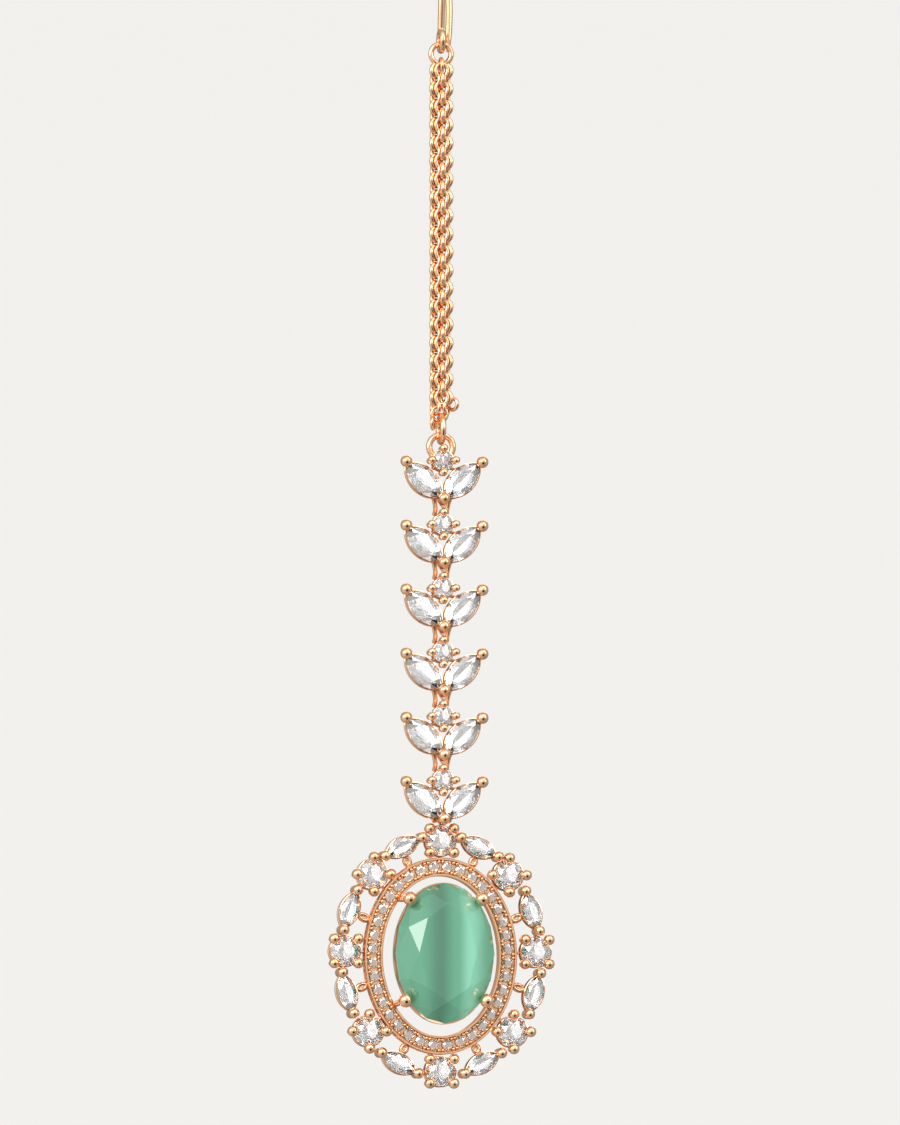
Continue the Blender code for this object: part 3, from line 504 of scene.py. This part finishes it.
def prong(ball, depth, foot=0.3, sides=18):
    # A ball that clears the stone's slope, on a post: the ball is an arc, then the profile pinches in and
    # widens to the post
    radius = ball / 2
    height = (radius + stoneGap - setting["aside"] * math.sin(crownSlope)) / math.cos(crownSlope)
    arc = np.linspace(0, setting["ballArc"], 9)
    under = radius * np.array((setting["pinch"], setting["shoulder"])) * (1, -1) + (0, height)
    end = -setting["postEnd"] * depth
    profile = np.vstack((
        np.stack((radius * np.sin(arc), height + radius * np.cos(arc)), axis=1), under,
        ((setting["post"] * radius, -setting["postTop"] * depth), (foot, end), (0.0, end)),
    ))
    return turned(profile, sides)


def roundStone(diameter):
    radius, table = diameter / 2, cut["table"] * diameter / 2
    return cutStone(ovalOutline(radius, radius), cut["crown"] * diameter, cut["pavilion"] * diameter,
                    ovalOutline(table, table), girdle=cut["girdle"] * diameter)


def leafStone(length, width):
    table = leafOutline(cut["leafTable"] * length, cut["table"] * width)
    return cutStone(leafOutline(length, width), cut["crown"] * width, cut["pavilion"] * width, table,
                    girdle=cut["leafGirdle"], keel=cut["leafKeel"] * length)


# The stem of leaf links

stem = {
    "units": 6, "pitch": 6.4, "leafLength": 4.9, "leafWidth": 2.5, "lean": math.radians(43.5), "gallery": 1.1,
    "ball": 1.2, "girdleFront": 1.35, "round": 2.0, "roundRise": 3.84, "collet": 1.4, "roundBall": 0.86,
    "pointDrop": 1.0, "pointHalfWidth": 0.7,
    # struts from the round's wall to the leaves': shares of the round's radius, the leaf, its wall's depth
    "strutInside": 0.75, "strutAlong": 0.58, "strutDepth": 0.5,
    # the yoke's legs: where they leave the leaf and its wall, two corners on the way, and the bar's ends
    "yokeAlong": 0.15, "yokeDepth": 0.75, "yokeWire": 0.46,
    "yokeUpper": {"aside": 0.76, "depth": 0.8, "drop": 0.35},
    "yokeLower": {"aside": 0.6, "depth": 0.3, "fall": 0.62},
    "yokeSpan": 0.62, "lastYokeSpan": 0.6, "barOver": 0.3,
}
leafReach = stem["leafLength"] + 2 * setting["aside"]
firstRoundZ = loopRingZ - loopRing["radius"] - 0.4 * loopRing["wire"]
firstBallZ = firstRoundZ - stem["roundRise"]
lastBallZ = firstBallZ - (stem["units"] - 1) * stem["pitch"]
stemEyeRise = stem["round"] / 2 + 0.7 * setting["proud"]
leafTurns = np.array([stem["lean"], math.pi - stem["lean"]])
leafCentres = np.stack((0.5 * leafReach * np.cos(leafTurns), (-stem["girdleFront"],) * 2,
                        0.5 * leafReach * np.sin(leafTurns)), axis=1)


def leafWallPoint(along, side, lower=True):
    # A point inside a leaf's wall, a distance along the leaf from the shared ball
    length, width = stem["leafLength"], stem["leafWidth"]
    radius = (length**2 + width**2) / (4 * width)
    inside = radius + (setting["proud"] - setting["foot"]) / 2
    off = math.sqrt(inside**2 - (along - leafReach / 2)**2) - radius + width / 2
    off = -off if lower else off
    lean = stem["lean"]
    x = along * math.cos(lean) - off * math.sin(lean)
    return side * x, along * math.sin(lean) + off * math.cos(lean)


def pointPlate():
    # A pointed plate with its face a little sunk inside a rounded rim: its four corners at each size and
    # height, point = centre + size (corner - centre)
    drop = stem["pointDrop"]
    reach = stem["pointHalfWidth"]
    corners = np.array([(-reach, -0.1 * reach), (0.0, -drop), (reach, -0.1 * reach), (0.0, 0.2 * reach)])
    centre = np.array([0.0, -0.3 * drop])
    rows = (
        (0.0, -0.12), (0.74, -0.12), (0.8, -0.05), (0.95, -0.05), (1.0, -0.1), (1.0, -0.46), (0.0, -0.46),
    )
    points = [np.column_stack((centre + size * (corners - centre), np.full(4, z))) for size, z in rows]
    return np.concatenate(points), gridFaces(len(rows), 4)


def eyeAt(x, z):
    return copies(link(eyeRadius, hinge["eyeWire"], 24, 10), edgeOn, (x, hinge["back"], z))


def leafUnit(first, last):
    # One leaf link about its shared ball: walls, prongs, struts, the pointed plate and the yoke below
    front, gallery = -stem["girdleFront"], stem["gallery"]
    radius, lean = stem["round"] / 2, stem["lean"]
    leafWall = wall(leafOutline(stem["leafLength"], stem["leafWidth"]), galleryProfile(gallery), 56)
    roundWall = wall(ovalOutline(radius, radius), galleryProfile(stem["collet"]), 36)
    tips = leafReach * np.array([
        (0.0, 0.0, 0.0), (math.cos(lean), 0.0, math.sin(lean)), (-math.cos(lean), 0.0, math.sin(lean))])
    compass = np.arange(4) * math.pi / 2
    around = (radius + setting["aside"]) * np.stack((np.cos(compass), 0 * compass, np.sin(compass)), axis=1)
    roundPlace = np.array((0.0, front, stem["roundRise"]))
    smallBall = prong(stem["roundBall"], stem["collet"], sides=14)
    surfaces = [
        copies(leafWall, facing(leafTurns), leafCentres),
        copies(roundWall, facing(), roundPlace),
        copies(prong(stem["ball"], gallery), facing(), tips + (0, front, 0)),
        copies(smallBall, facing(), around + roundPlace),
        copies(pointPlate(), facing(), (0, front, 0)),
    ]
    for side in (1, -1):
        x, z = leafWallPoint(stem["strutAlong"] * leafReach, side, lower=False)
        middle = front + stem["strutDepth"] * gallery
        inside = stem["strutInside"] * radius
        start = (side * inside, middle, stem["roundRise"] - inside)
        surfaces.append(rod(start, (x, middle, z), hinge["bar"]))
    if first:
        ringPlace = (0, 0, loopRingZ - firstBallZ)
        surfaces.append(copies(link(loopRing["radius"], loopRing["wire"], 48, 16), facing(), ringPlace))
    else:
        surfaces.append(eyeAt(0.0, stem["roundRise"] + stemEyeRise))
    barZ = haloEyeRise - pendant["neck"] if last else stem["roundRise"] + stemEyeRise - stem["pitch"]
    halfSpan = stem["lastYokeSpan" if last else "yokeSpan"]
    back = front + stem["yokeDepth"] * gallery
    upper, lower = stem["yokeUpper"], stem["yokeLower"]
    for side in (1, -1):
        x, z = leafWallPoint(stem["yokeAlong"] * leafReach, side)
        leg = (
            (x, back, z), (side * upper["aside"], upper["depth"] * back, z - upper["drop"]),
            (side * lower["aside"], lower["depth"] * back, lower["fall"] * barZ),
            (side * halfSpan, hinge["back"], barZ),
        )
        surfaces.append(tube(smoothPath(leg, 6), stem["yokeWire"] / 2, np.array([0.0, 1.0, 0.3]), 12))
    over = halfSpan + stem["barOver"] * hinge["bar"]
    surfaces.append(rod((-over, hinge["back"], barZ), (over, hinge["back"], barZ), hinge["bar"]))
    return joined(surfaces)


pendant = {
    "neck": 2.14, "halfWidth": 9.66, "halfHeight": 11.49, "round": 3.0, "leafLength": 3.8, "leafWidth": 1.9,
    "stations": (0.0, 22.8, 45.2, 67.4, 87.8, 108.4, 131.0, 155.0, 180.0),  # rounds and leaves down one side
    "leafOut": 0.3, "collet": 1.4, "ball": 1.1, "tipFoot": 0.5,
    # struts from the rounds and loops from the leaves to the band: depths as shares of the collet's
    "strutDepth": 0.5, "strutInto": 0.3,
    "loopDepth": 0.35, "loopBite": 0.1, "loopWire": 0.44, "loopHalfWidth": 0.27,
}
band = {
    "halfWidth": 6.8, "halfHeight": 8.9, "width": 1.85, "depth": 1.4, "edge": 0.05,
    "rail": 0.24, "railRise": 0.06, "lip": 0.03, "lipInside": 0.02, "recess": 0.32, "recessDraft": 0.04,
    "grooveTop": 0.45, "grooveFoot": 0.95, "groove": 0.06,
    "stones": 36, "stone": 1.15, "stoneDrop": 0.08,
    # grain beads: how far across the band, how far on towards the next stone, how far in front
    "bead": 0.19, "beadAcross": 0.51, "beadShifts": (0.37, 0.63), "beadRaise": 0.02,
    "beadArc": math.radians(110), "beadFoot": 0.1,
}
centreStone = {
    "width": 10.0, "height": 14.0, "crown": 1.8, "pavilion": 3.4, "raise": 2.4, "rise": 0.2,
    "tableInset": 2.1, "starRise": 0.55, "lowerRise": 0.6, "girdle": 0.12, "keel": 1.2,
    "ball": 1.42, "upper": math.radians(47), "lower": math.radians(40), "tableAcross": 0.62,
    "stem": 0.6, "stemAside": 0.7, "stemInto": 0.4, "stemDepth": 0.55,
    "railProud": 0.07, "railDrop": 0.75, "railInside": 0.3,
}
haloEyeRise = pendant["round"] / 2 + setting["proud"] + eyeRadius
pendantZ = lastBallZ - pendant["neck"] - pendant["halfHeight"]

units = np.arange(stem["units"])
unitPlaces = np.column_stack((0 * units, 0 * units, firstBallZ - units * stem["pitch"]))
for n in units:
    metal = copies(leafUnit(n == units[0], n == units[-1]), asDrawn, unitPlaces[n])
    makePiece(f"leafLink{n + 1}", metal, gold, "suspension", [f"leaf_unit_{n + 1}"], 40)
roundPlaces = unitPlaces + (0, -stem["girdleFront"], stem["roundRise"])
rounds = copies(roundStone(stem["round"]), facing(), roundPlaces)
makePiece("stemRounds", rounds, clear, "suspension", [f"stem_round_{n + 1}" for n in units])
leafPlaces = (unitPlaces[:, None] + leafCentres[None]).reshape(-1, 3)
leaf = leafStone(stem["leafLength"], stem["leafWidth"])
leaves = copies(leaf, facing(np.tile(leafTurns, len(units))), leafPlaces)
leafNodes = [f"leaf_stone_{side}_{n + 1}" for n in units for side in ("right", "left")]
makePiece("stemLeaves", leaves, clear, "suspension", leafNodes)
print("stem done")


# The pendant

sideAngles = np.radians(pendant["stations"])
haloAngles = np.concatenate((sideAngles, -sideAngles[-2:0:-1]))  # rounds and leaves take turns
roundCount = len(haloAngles) // 2


def haloPoint(angle, out=0.0):
    # A point of the halo's oval, at an angle from the top towards the right
    return (pendant["halfWidth"] + out) * np.sin(angle), (pendant["halfHeight"] + out) * np.cos(angle)


def bandScale(x, z, grow):
    # What to scale a point by to bring it onto the band's oval, grown outwards by so much
    return 1.0 / np.hypot(x / (band["halfWidth"] + grow), z / (band["halfHeight"] + grow))


def bandStations(shift=0.0, across=0.0):
    # Places spaced evenly along the band's middle, moved by a share of the spacing and across the band: the
    # oval's length is summed up in fine steps and looked up at equal shares
    middle = ovalOutline(band["halfWidth"], band["halfHeight"])
    fine = np.linspace(0, 1, 2401)
    lengths = np.concatenate(([0.0], np.cumsum(np.linalg.norm(np.diff(middle(fine), axis=0), axis=1))))
    share = (np.arange(band["stones"]) + 0.5 + shift) / band["stones"] % 1.0
    found = np.interp(lengths[-1] * share, lengths, fine)
    angle = fullTurn * found
    outwards = np.arctan2(band["halfWidth"] * np.sin(angle), band["halfHeight"] * np.cos(angle))
    return middle(found, across), outwards


def bandSurface():
    # The band's profile, as rows of (across, height): two rounded rails over a sunk floor, grooved sides
    half, edge, depth = band["width"] / 2, band["edge"], band["depth"]
    rise, recess, draft = band["railRise"], band["recess"], band["recessDraft"]
    floor, lip, inside = half - band["rail"], band["lip"], band["lipInside"]
    top, foot, groove = band["grooveTop"], band["grooveFoot"], band["groove"]
    profile = (
        (half - edge, rise), (half, 0.0), (half, -top), (half - groove, -top - edge),
        (half - groove, -foot + edge), (half, -foot), (half, -depth + edge), (half - edge, -depth),
        (-half + edge, -depth), (-half, -depth + edge), (-half, 0.0), (-half + edge, rise),
        (-floor - lip, rise), (-floor + inside, 0.0), (-floor + draft, -recess),
        (floor - draft, -recess), (floor - inside, 0.0), (floor + lip, rise),
    )
    return copies(wall(ovalOutline(band["halfWidth"], band["halfHeight"]), profile, 180), facing(), (0, 0, 0))


def grainBeads():
    # Small beads that hold the band's stones, two pairs between neighbours: each is an arc with
    # radius = bead sin a, height = bead cos a, closed by a point at its foot
    arc = np.linspace(0, band["beadArc"], 5)
    half = band["bead"] * np.stack((np.sin(arc), np.cos(arc)), axis=1)
    bead = turned(np.vstack((half, (0.0, -band["beadFoot"]))), 10)
    surfaces = []
    for across in (band["beadAcross"], -band["beadAcross"]):
        for shift in band["beadShifts"]:
            spots, _ = bandStations(shift, across)
            places = np.column_stack((spots[:, 0], 0 * spots[:, 0] - band["beadRaise"], spots[:, 1]))
            surfaces.append(copies(bead, facing(), places))
    return joined(surfaces)


def haloSurface():
    # Settings of the rounds and leaves with their prongs, and what joins them to the band
    radius, collet = pendant["round"] / 2, pendant["collet"]
    reach = radius + setting["aside"]
    roundWall = wall(ovalOutline(radius, radius), galleryProfile(collet), 40)
    leafWall = wall(leafOutline(pendant["leafLength"], pendant["leafWidth"]), galleryProfile(collet), 48)
    k = np.arange(roundCount)
    x, z = haloPoint(haloAngles[0::2])
    surfaces = [copies(roundWall, facing(), np.column_stack((x, 0 * x, z)))]
    around = np.where(k % 2 == 0, math.pi / 4, 0.0)[:, None] + np.arange(4) * math.pi / 2
    prongX = (x[:, None] + reach * np.cos(around)).ravel()
    prongZ = (z[:, None] + reach * np.sin(around)).ravel()
    ball = prong(pendant["ball"], collet)
    surfaces.append(copies(ball, facing(), np.column_stack((prongX, 0 * prongX, prongZ))))
    leafAngle = haloAngles[1::2]
    leafX, leafZ = haloPoint(leafAngle, pendant["leafOut"])
    turn = np.arctan2(-pendant["halfHeight"] * np.sin(leafAngle), pendant["halfWidth"] * np.cos(leafAngle))
    surfaces.append(copies(leafWall, facing(turn), np.column_stack((leafX, 0 * leafX, leafZ))))
    tip = pendant["leafLength"] / 2 + setting["aside"]
    ball = prong(pendant["ball"], collet, pendant["tipFoot"])
    for side in (1, -1):
        tips = (leafX + side * tip * np.cos(turn), 0 * leafX, leafZ + side * tip * np.sin(turn))
        surfaces.append(copies(ball, facing(), np.column_stack(tips)))
    for n in k:
        inward = np.array((-x[n], 0.0, -z[n])) / np.hypot(x[n], z[n])
        depth = pendant["strutDepth"] * collet
        start = np.array((x[n], depth, z[n])) + inward * (radius - 0.5 * setting["foot"])
        scale = bandScale(x[n], z[n], pendant["strutInto"] * band["width"])
        surfaces.append(rod(start, (x[n] * scale, depth, z[n] * scale), hinge["bar"]))
        # The loop fills what is free between the band's outer edge and the leaf's wall, and bites into both
        outer = np.array((leafX[n], leafZ[n]))
        inner = outer * bandScale(leafX[n], leafZ[n], 0.5 * band["width"])
        free = np.linalg.norm(outer - inner) - pendant["leafWidth"] / 2 - setting["proud"]
        centre = inner + (outer - inner) / np.linalg.norm(outer - inner) * free / 2
        halfWidth = pendant["loopHalfWidth"]
        stretch = (free / 2 + pendant["loopBite"] - pendant["loopWire"] / 2) / halfWidth
        outwards = math.atan2(inner[0] - outer[0], outer[1] - inner[1])
        place = (centre[0], pendant["loopDepth"] * collet, centre[1])
        loop = link(halfWidth, pendant["loopWire"], 24, 10, stretch)
        surfaces.append(copies(loop, facing(outwards), place))
    stones = (np.column_stack((x, 0 * x, z)), np.column_stack((leafX, 0 * leafX, leafZ)), turn)
    return joined(surfaces), stones


def basketSurface():
    # Four balls on sloping stems from the band, and the rail under the centre stone
    halfWidth, halfHeight = centreStone["width"] / 2, centreStone["height"] / 2
    top, foot = -centreStone["railDrop"], -centreStone["railDrop"] - centreStone["stem"]
    proud, wire = centreStone["railProud"], centreStone["stem"]
    railProfile = ((proud, top), (proud, foot), (-centreStone["railInside"], foot), (0.0, top))
    railPlace = (0, -centreStone["raise"], centreStone["rise"])
    surfaces = [copies(wall(ovalOutline(halfWidth, halfHeight), railProfile, 96), facing(), railPlace)]
    aside = wire / 2 + stoneGap
    slope = math.atan2(centreStone["crown"], halfWidth * (1 - centreStone["tableAcross"]))
    radius = centreStone["ball"] / 2
    rise = (radius + stoneGap - aside * math.sin(slope)) / math.cos(slope)
    arc = np.linspace(0, math.pi, 13)
    ball = turned(np.stack((radius * np.sin(arc), radius * np.cos(arc)), axis=1), 24)
    upper, lower = centreStone["upper"], centreStone["lower"]
    for angle in (upper, math.pi - upper, math.pi + lower, -lower):
        x = (halfWidth + aside) * math.cos(angle)
        z = (halfHeight + aside) * math.sin(angle) + centreStone["rise"]
        ballPlace = (x, -centreStone["raise"] - rise, z)
        onRail = (x, wire / 2 - top - centreStone["raise"], z)
        footX = x + math.copysign(centreStone["stemAside"], x)
        into = centreStone["stemInto"] * band["width"]
        share = math.sqrt(1.0 - (footX / (band["halfWidth"] - into))**2)
        footZ = math.copysign((band["halfHeight"] - into) * share, z)
        inBand = (footX, centreStone["stemDepth"] * pendant["collet"], footZ)
        surfaces.append(copies(ball, facing(), ballPlace))
        path = smoothPath((ballPlace, onRail, inBand), 8)
        surfaces.append(tube(path, wire / 2, np.array([0.3, 0.0, 1.0]), 12))
    return joined(surfaces)


def makePendantPiece(name, surface, finish, nodes, softAngle=None):
    # The pendant is drawn about its own middle and moved down to its place
    makePiece(name, copies(surface, asDrawn, (0, 0, pendantZ)), finish, "pendant", nodes, softAngle)


frameNode = ["pendant_frame"]
haloMetal, (haloRoundPlaces, haloLeafPlaces, haloLeafTurns) = haloSurface()
eye = eyeAt(0.0, pendant["halfHeight"] + haloEyeRise)
makePendantPiece("bandMetal", joined((bandSurface(), grainBeads())), gold, frameNode, 40)
makePendantPiece("haloSettings", joined((haloMetal, eye)), gold, frameNode, 40)
makePendantPiece("stoneBasket", basketSurface(), gold, frameNode, 40)

spots, outwards = bandStations()
places = np.column_stack((spots[:, 0], 0 * outwards + band["stoneDrop"], spots[:, 1]))
smallStones = copies(roundStone(band["stone"]), facing(outwards), places)
makePendantPiece("bandStones", smallStones, smallClear, frameNode)

rounds = copies(roundStone(pendant["round"]), facing(), haloRoundPlaces)
roundNodes = [f"halo_round_{n + 1}" for n in range(roundCount)]
makePendantPiece("haloRounds", rounds, clear, roundNodes)
leaf = leafStone(pendant["leafLength"], pendant["leafWidth"])
leaves = copies(leaf, facing(haloLeafTurns), haloLeafPlaces)
leafNodes = [f"halo_leaf_{n + 1}" for n in range(roundCount)]
makePendantPiece("haloLeaves", leaves, clear, leafNodes)

halfWidth, halfHeight, inset = centreStone["width"] / 2, centreStone["height"] / 2, centreStone["tableInset"]
mainStone = cutStone(ovalOutline(halfWidth, halfHeight), centreStone["crown"], centreStone["pavilion"],
                     ovalOutline(halfWidth - inset, halfHeight - inset), centreStone["starRise"],
                     centreStone["lowerRise"], centreStone["girdle"], centreStone["keel"])
mainStone = copies(mainStone, facing(), (0, -centreStone["raise"], centreStone["rise"]))
makePendantPiece("centreStone", mainStone, green, ["main_stone"])
print("pendant done")


# Stage, light and camera

stage = {
    "floorZ": -0.26, "middle": 0.3, "floorRadius": 0.6, "radius": 3.0, "wall": 2.2,
    "color": (0.27, 0.267, 0.261), "cloudShade": 0.985, "cloudSize": 2.0, "roughness": 0.8, "glow": 2.45,
}


def makeStage():
    # A round pale floor that curves up into a wall: flat to its own radius, then a quarter ellipse with
    # radius = floor radius + reach sin a, height = wall (1 - cos a), all turned round Z
    bend = np.linspace(0, math.pi / 2, 25)
    reach = stage["radius"] - stage["floorRadius"]
    radius = np.concatenate(([0.0, stage["middle"]], stage["floorRadius"] + reach * np.sin(bend)))
    height = np.concatenate(([0.0, 0.0], stage["wall"] * (1 - np.cos(bend))))
    points, faces = turned(np.stack((radius, height), axis=1), 96)
    mesh = bpy.data.meshes.new("paleFloor")
    mesh.from_pydata((points + (0, 0, stage["floorZ"])).tolist(), [], faces.tolist())
    mesh.shade_smooth()
    finish, tree, shader = newFinish("pale matt floor")
    clouds = addNoise(tree, stage["cloudSize"])
    shaded = tuple(stage["cloudShade"] * c for c in stage["color"])
    cloudColor = addRamp(tree, clouds, ((0.3, shaded), (0.7, stage["color"])))
    tree.links.new(cloudColor, shader.inputs["Base Color"])
    shader.inputs["Roughness"].default_value = stage["roughness"]
    shader.inputs["Emission Color"].default_value = (*stage["color"], 1.0)
    shader.inputs["Emission Strength"].default_value = stage["glow"]
    mesh.materials.append(finish)
    floor = bpy.data.objects.new("paleFloor", mesh)
    bpy.context.scene.collection.objects.link(floor)
    floor.visible_glossy = False
    floor.visible_transmission = False
    floor.visible_shadow = False


lightsAim = Vector((0.0, 0.0, -0.075))
lights = (
    {"name": "keySoftbox", "azimuth": -34, "elevation": 24, "distance": 0.8, "size": (0.4, 0.4), "power": 2.4,
     "color": (1.0, 0.985, 0.96)},
    {"name": "leftPanel", "azimuth": -66, "elevation": 14, "distance": 0.8, "size": (0.3, 0.4), "power": 1.1},
    {"name": "topSoftbox", "azimuth": 25, "elevation": 48, "distance": 0.9, "size": (0.6, 0.4), "power": 1.5},
    {"name": "rightStrip", "azimuth": 52, "elevation": 20, "distance": 0.8, "size": (0.14, 0.4), "power": 1.0,
     "color": (1.0, 0.97, 0.93)},
    {"name": "backSoftbox", "azimuth": 165, "elevation": 35, "distance": 1.0, "size": (0.7, 0.5),
     "power": 1.1},
)


def makeLight(name, azimuth, elevation, distance, size, power, color=(1.0, 1.0, 1.0)):
    # A soft light that looks at the jewel's middle: azimuth in degrees from the front towards the right,
    # elevation upwards; away = (sin a cos e, -cos a cos e, sin e)
    light = bpy.data.lights.new(name, "AREA")
    light.shape = "RECTANGLE"
    light.size, light.size_y = size
    light.energy = power
    light.color = color
    lamp = bpy.data.objects.new(name, light)
    a, e = math.radians(azimuth), math.radians(elevation)
    away = Vector((math.sin(a) * math.cos(e), -math.cos(a) * math.cos(e), math.sin(e)))
    lamp.location = lightsAim + distance * away
    lamp.rotation_mode = "QUATERNION"
    lamp.rotation_quaternion = away.to_track_quat("Z", "Y")
    lamp.visible_camera = False
    bpy.context.scene.collection.objects.link(lamp)


room = {
    "even": (0.60, 0.59, 0.58),  # what matt surfaces are lit by
    "dimTowards": (0.12, -0.87, -0.47), "slopeTowards": (-0.50, -0.10, 0.86), "slope": (0.35, 1.1),
    "dim": (0.05, 0.04, 0.035), "side": (1.10, 1.08, 1.05), "behind": (0.55, 0.49, 0.44),
    "stoneDim": (0.30, 0.30, 0.31), "stoneSide": (2.2, 2.2, 2.2), "stoneBehind": (1.6, 1.6, 1.6),
}


def makeWorld():
    # A soft room: matt surfaces are lit evenly; gloss sees a dim patch in front, bright sides and top, and
    # a dimmer floor and back; what shines through the stones is brighter. The patch depends on the cosine of
    # the angle to one direction, and the slope from top to floor on that to another
    world = bpy.data.worlds.new("softRoom")
    world.use_nodes = True
    world.cycles.sampling_method = "NONE"
    tree = world.node_tree
    place = tree.nodes.new("ShaderNodeTexCoord")

    def angleTo(direction, low, high):
        product = tree.nodes.new("ShaderNodeVectorMath")
        product.operation = "DOT_PRODUCT"
        product.inputs[1].default_value = direction
        tree.links.new(place.outputs["Generated"], product.inputs[0])
        spread = tree.nodes.new("ShaderNodeMapRange")
        spread.inputs["From Min"].default_value = -1.0
        spread.inputs["To Min"].default_value = low
        spread.inputs["To Max"].default_value = high
        tree.links.new(product.outputs["Value"], spread.inputs["Value"])
        return spread.outputs["Result"]

    def seenBy(kind, below, color):
        mix = tree.nodes.new("ShaderNodeMix")
        mix.data_type = "RGBA"
        tree.links.new(ray.outputs[kind], mix.inputs["Factor"])
        if below is None:
            mix.inputs["A"].default_value = (*room["even"], 1.0)
        else:
            tree.links.new(below, mix.inputs["A"])
        tree.links.new(color, mix.inputs["B"])
        return mix.outputs["Result"]

    dimness = angleTo(room["dimTowards"], 0.0, 1.0)
    patch = addRamp(tree, dimness, (
        (0.0, room["behind"]), (0.25, room["behind"]), (0.45, room["side"]), (0.935, room["side"]),
        (0.972, room["dim"])))
    stonePatch = addRamp(tree, dimness, (
        (0.0, room["stoneBehind"]), (0.3, room["stoneSide"]), (0.80, room["stoneSide"]),
        (0.88, room["stoneDim"])))
    shade = tree.nodes.new("ShaderNodeVectorMath")
    shade.operation = "SCALE"
    tree.links.new(patch, shade.inputs[0])
    tree.links.new(angleTo(room["slopeTowards"], *room["slope"]), shade.inputs["Scale"])
    ray = tree.nodes.new("ShaderNodeLightPath")
    glossy = seenBy("Is Glossy Ray", None, shade.outputs["Vector"])
    through = seenBy("Is Transmission Ray", glossy, stonePatch)
    tree.links.new(through, tree.nodes["Background"].inputs["Color"])
    bpy.context.scene.world = world


makeStage()
makeWorld()
for light in lights:
    makeLight(**light)
bpy.context.scene.view_settings.view_transform = "Standard"

camera = {
    "azimuth": math.radians(-10), "rise": math.radians(-4), "distance": 1.0, "lens": 320.0, "sensor": 36.0,
    "aside": 0.9, "z": -71.3, "near": 0.05, "far": 20.0,
}
cameraData = bpy.data.cameras.new("camera")
cameraData.lens = camera["lens"]
cameraData.sensor_width = camera["sensor"]
cameraData.clip_start = camera["near"]
cameraData.clip_end = camera["far"]
cameraObject = bpy.data.objects.new("camera", cameraData)
bpy.context.scene.collection.objects.link(cameraObject)
level = np.array((math.sin(camera["azimuth"]), -math.cos(camera["azimuth"]), 0.0))
back = math.cos(camera["rise"]) * level + np.array((0.0, 0.0, math.sin(camera["rise"])))
right = np.array((-level[1], level[0], 0.0))
look = right * camera["aside"] * mm + np.array((0, 0, camera["z"] * mm))
cameraObject.location = look + back * camera["distance"]
cameraObject.rotation_mode = "QUATERNION"
cameraObject.rotation_quaternion = Vector(back).to_track_quat("Z", "Y")
bpy.context.scene.camera = cameraObject
print("stage, light and camera done")
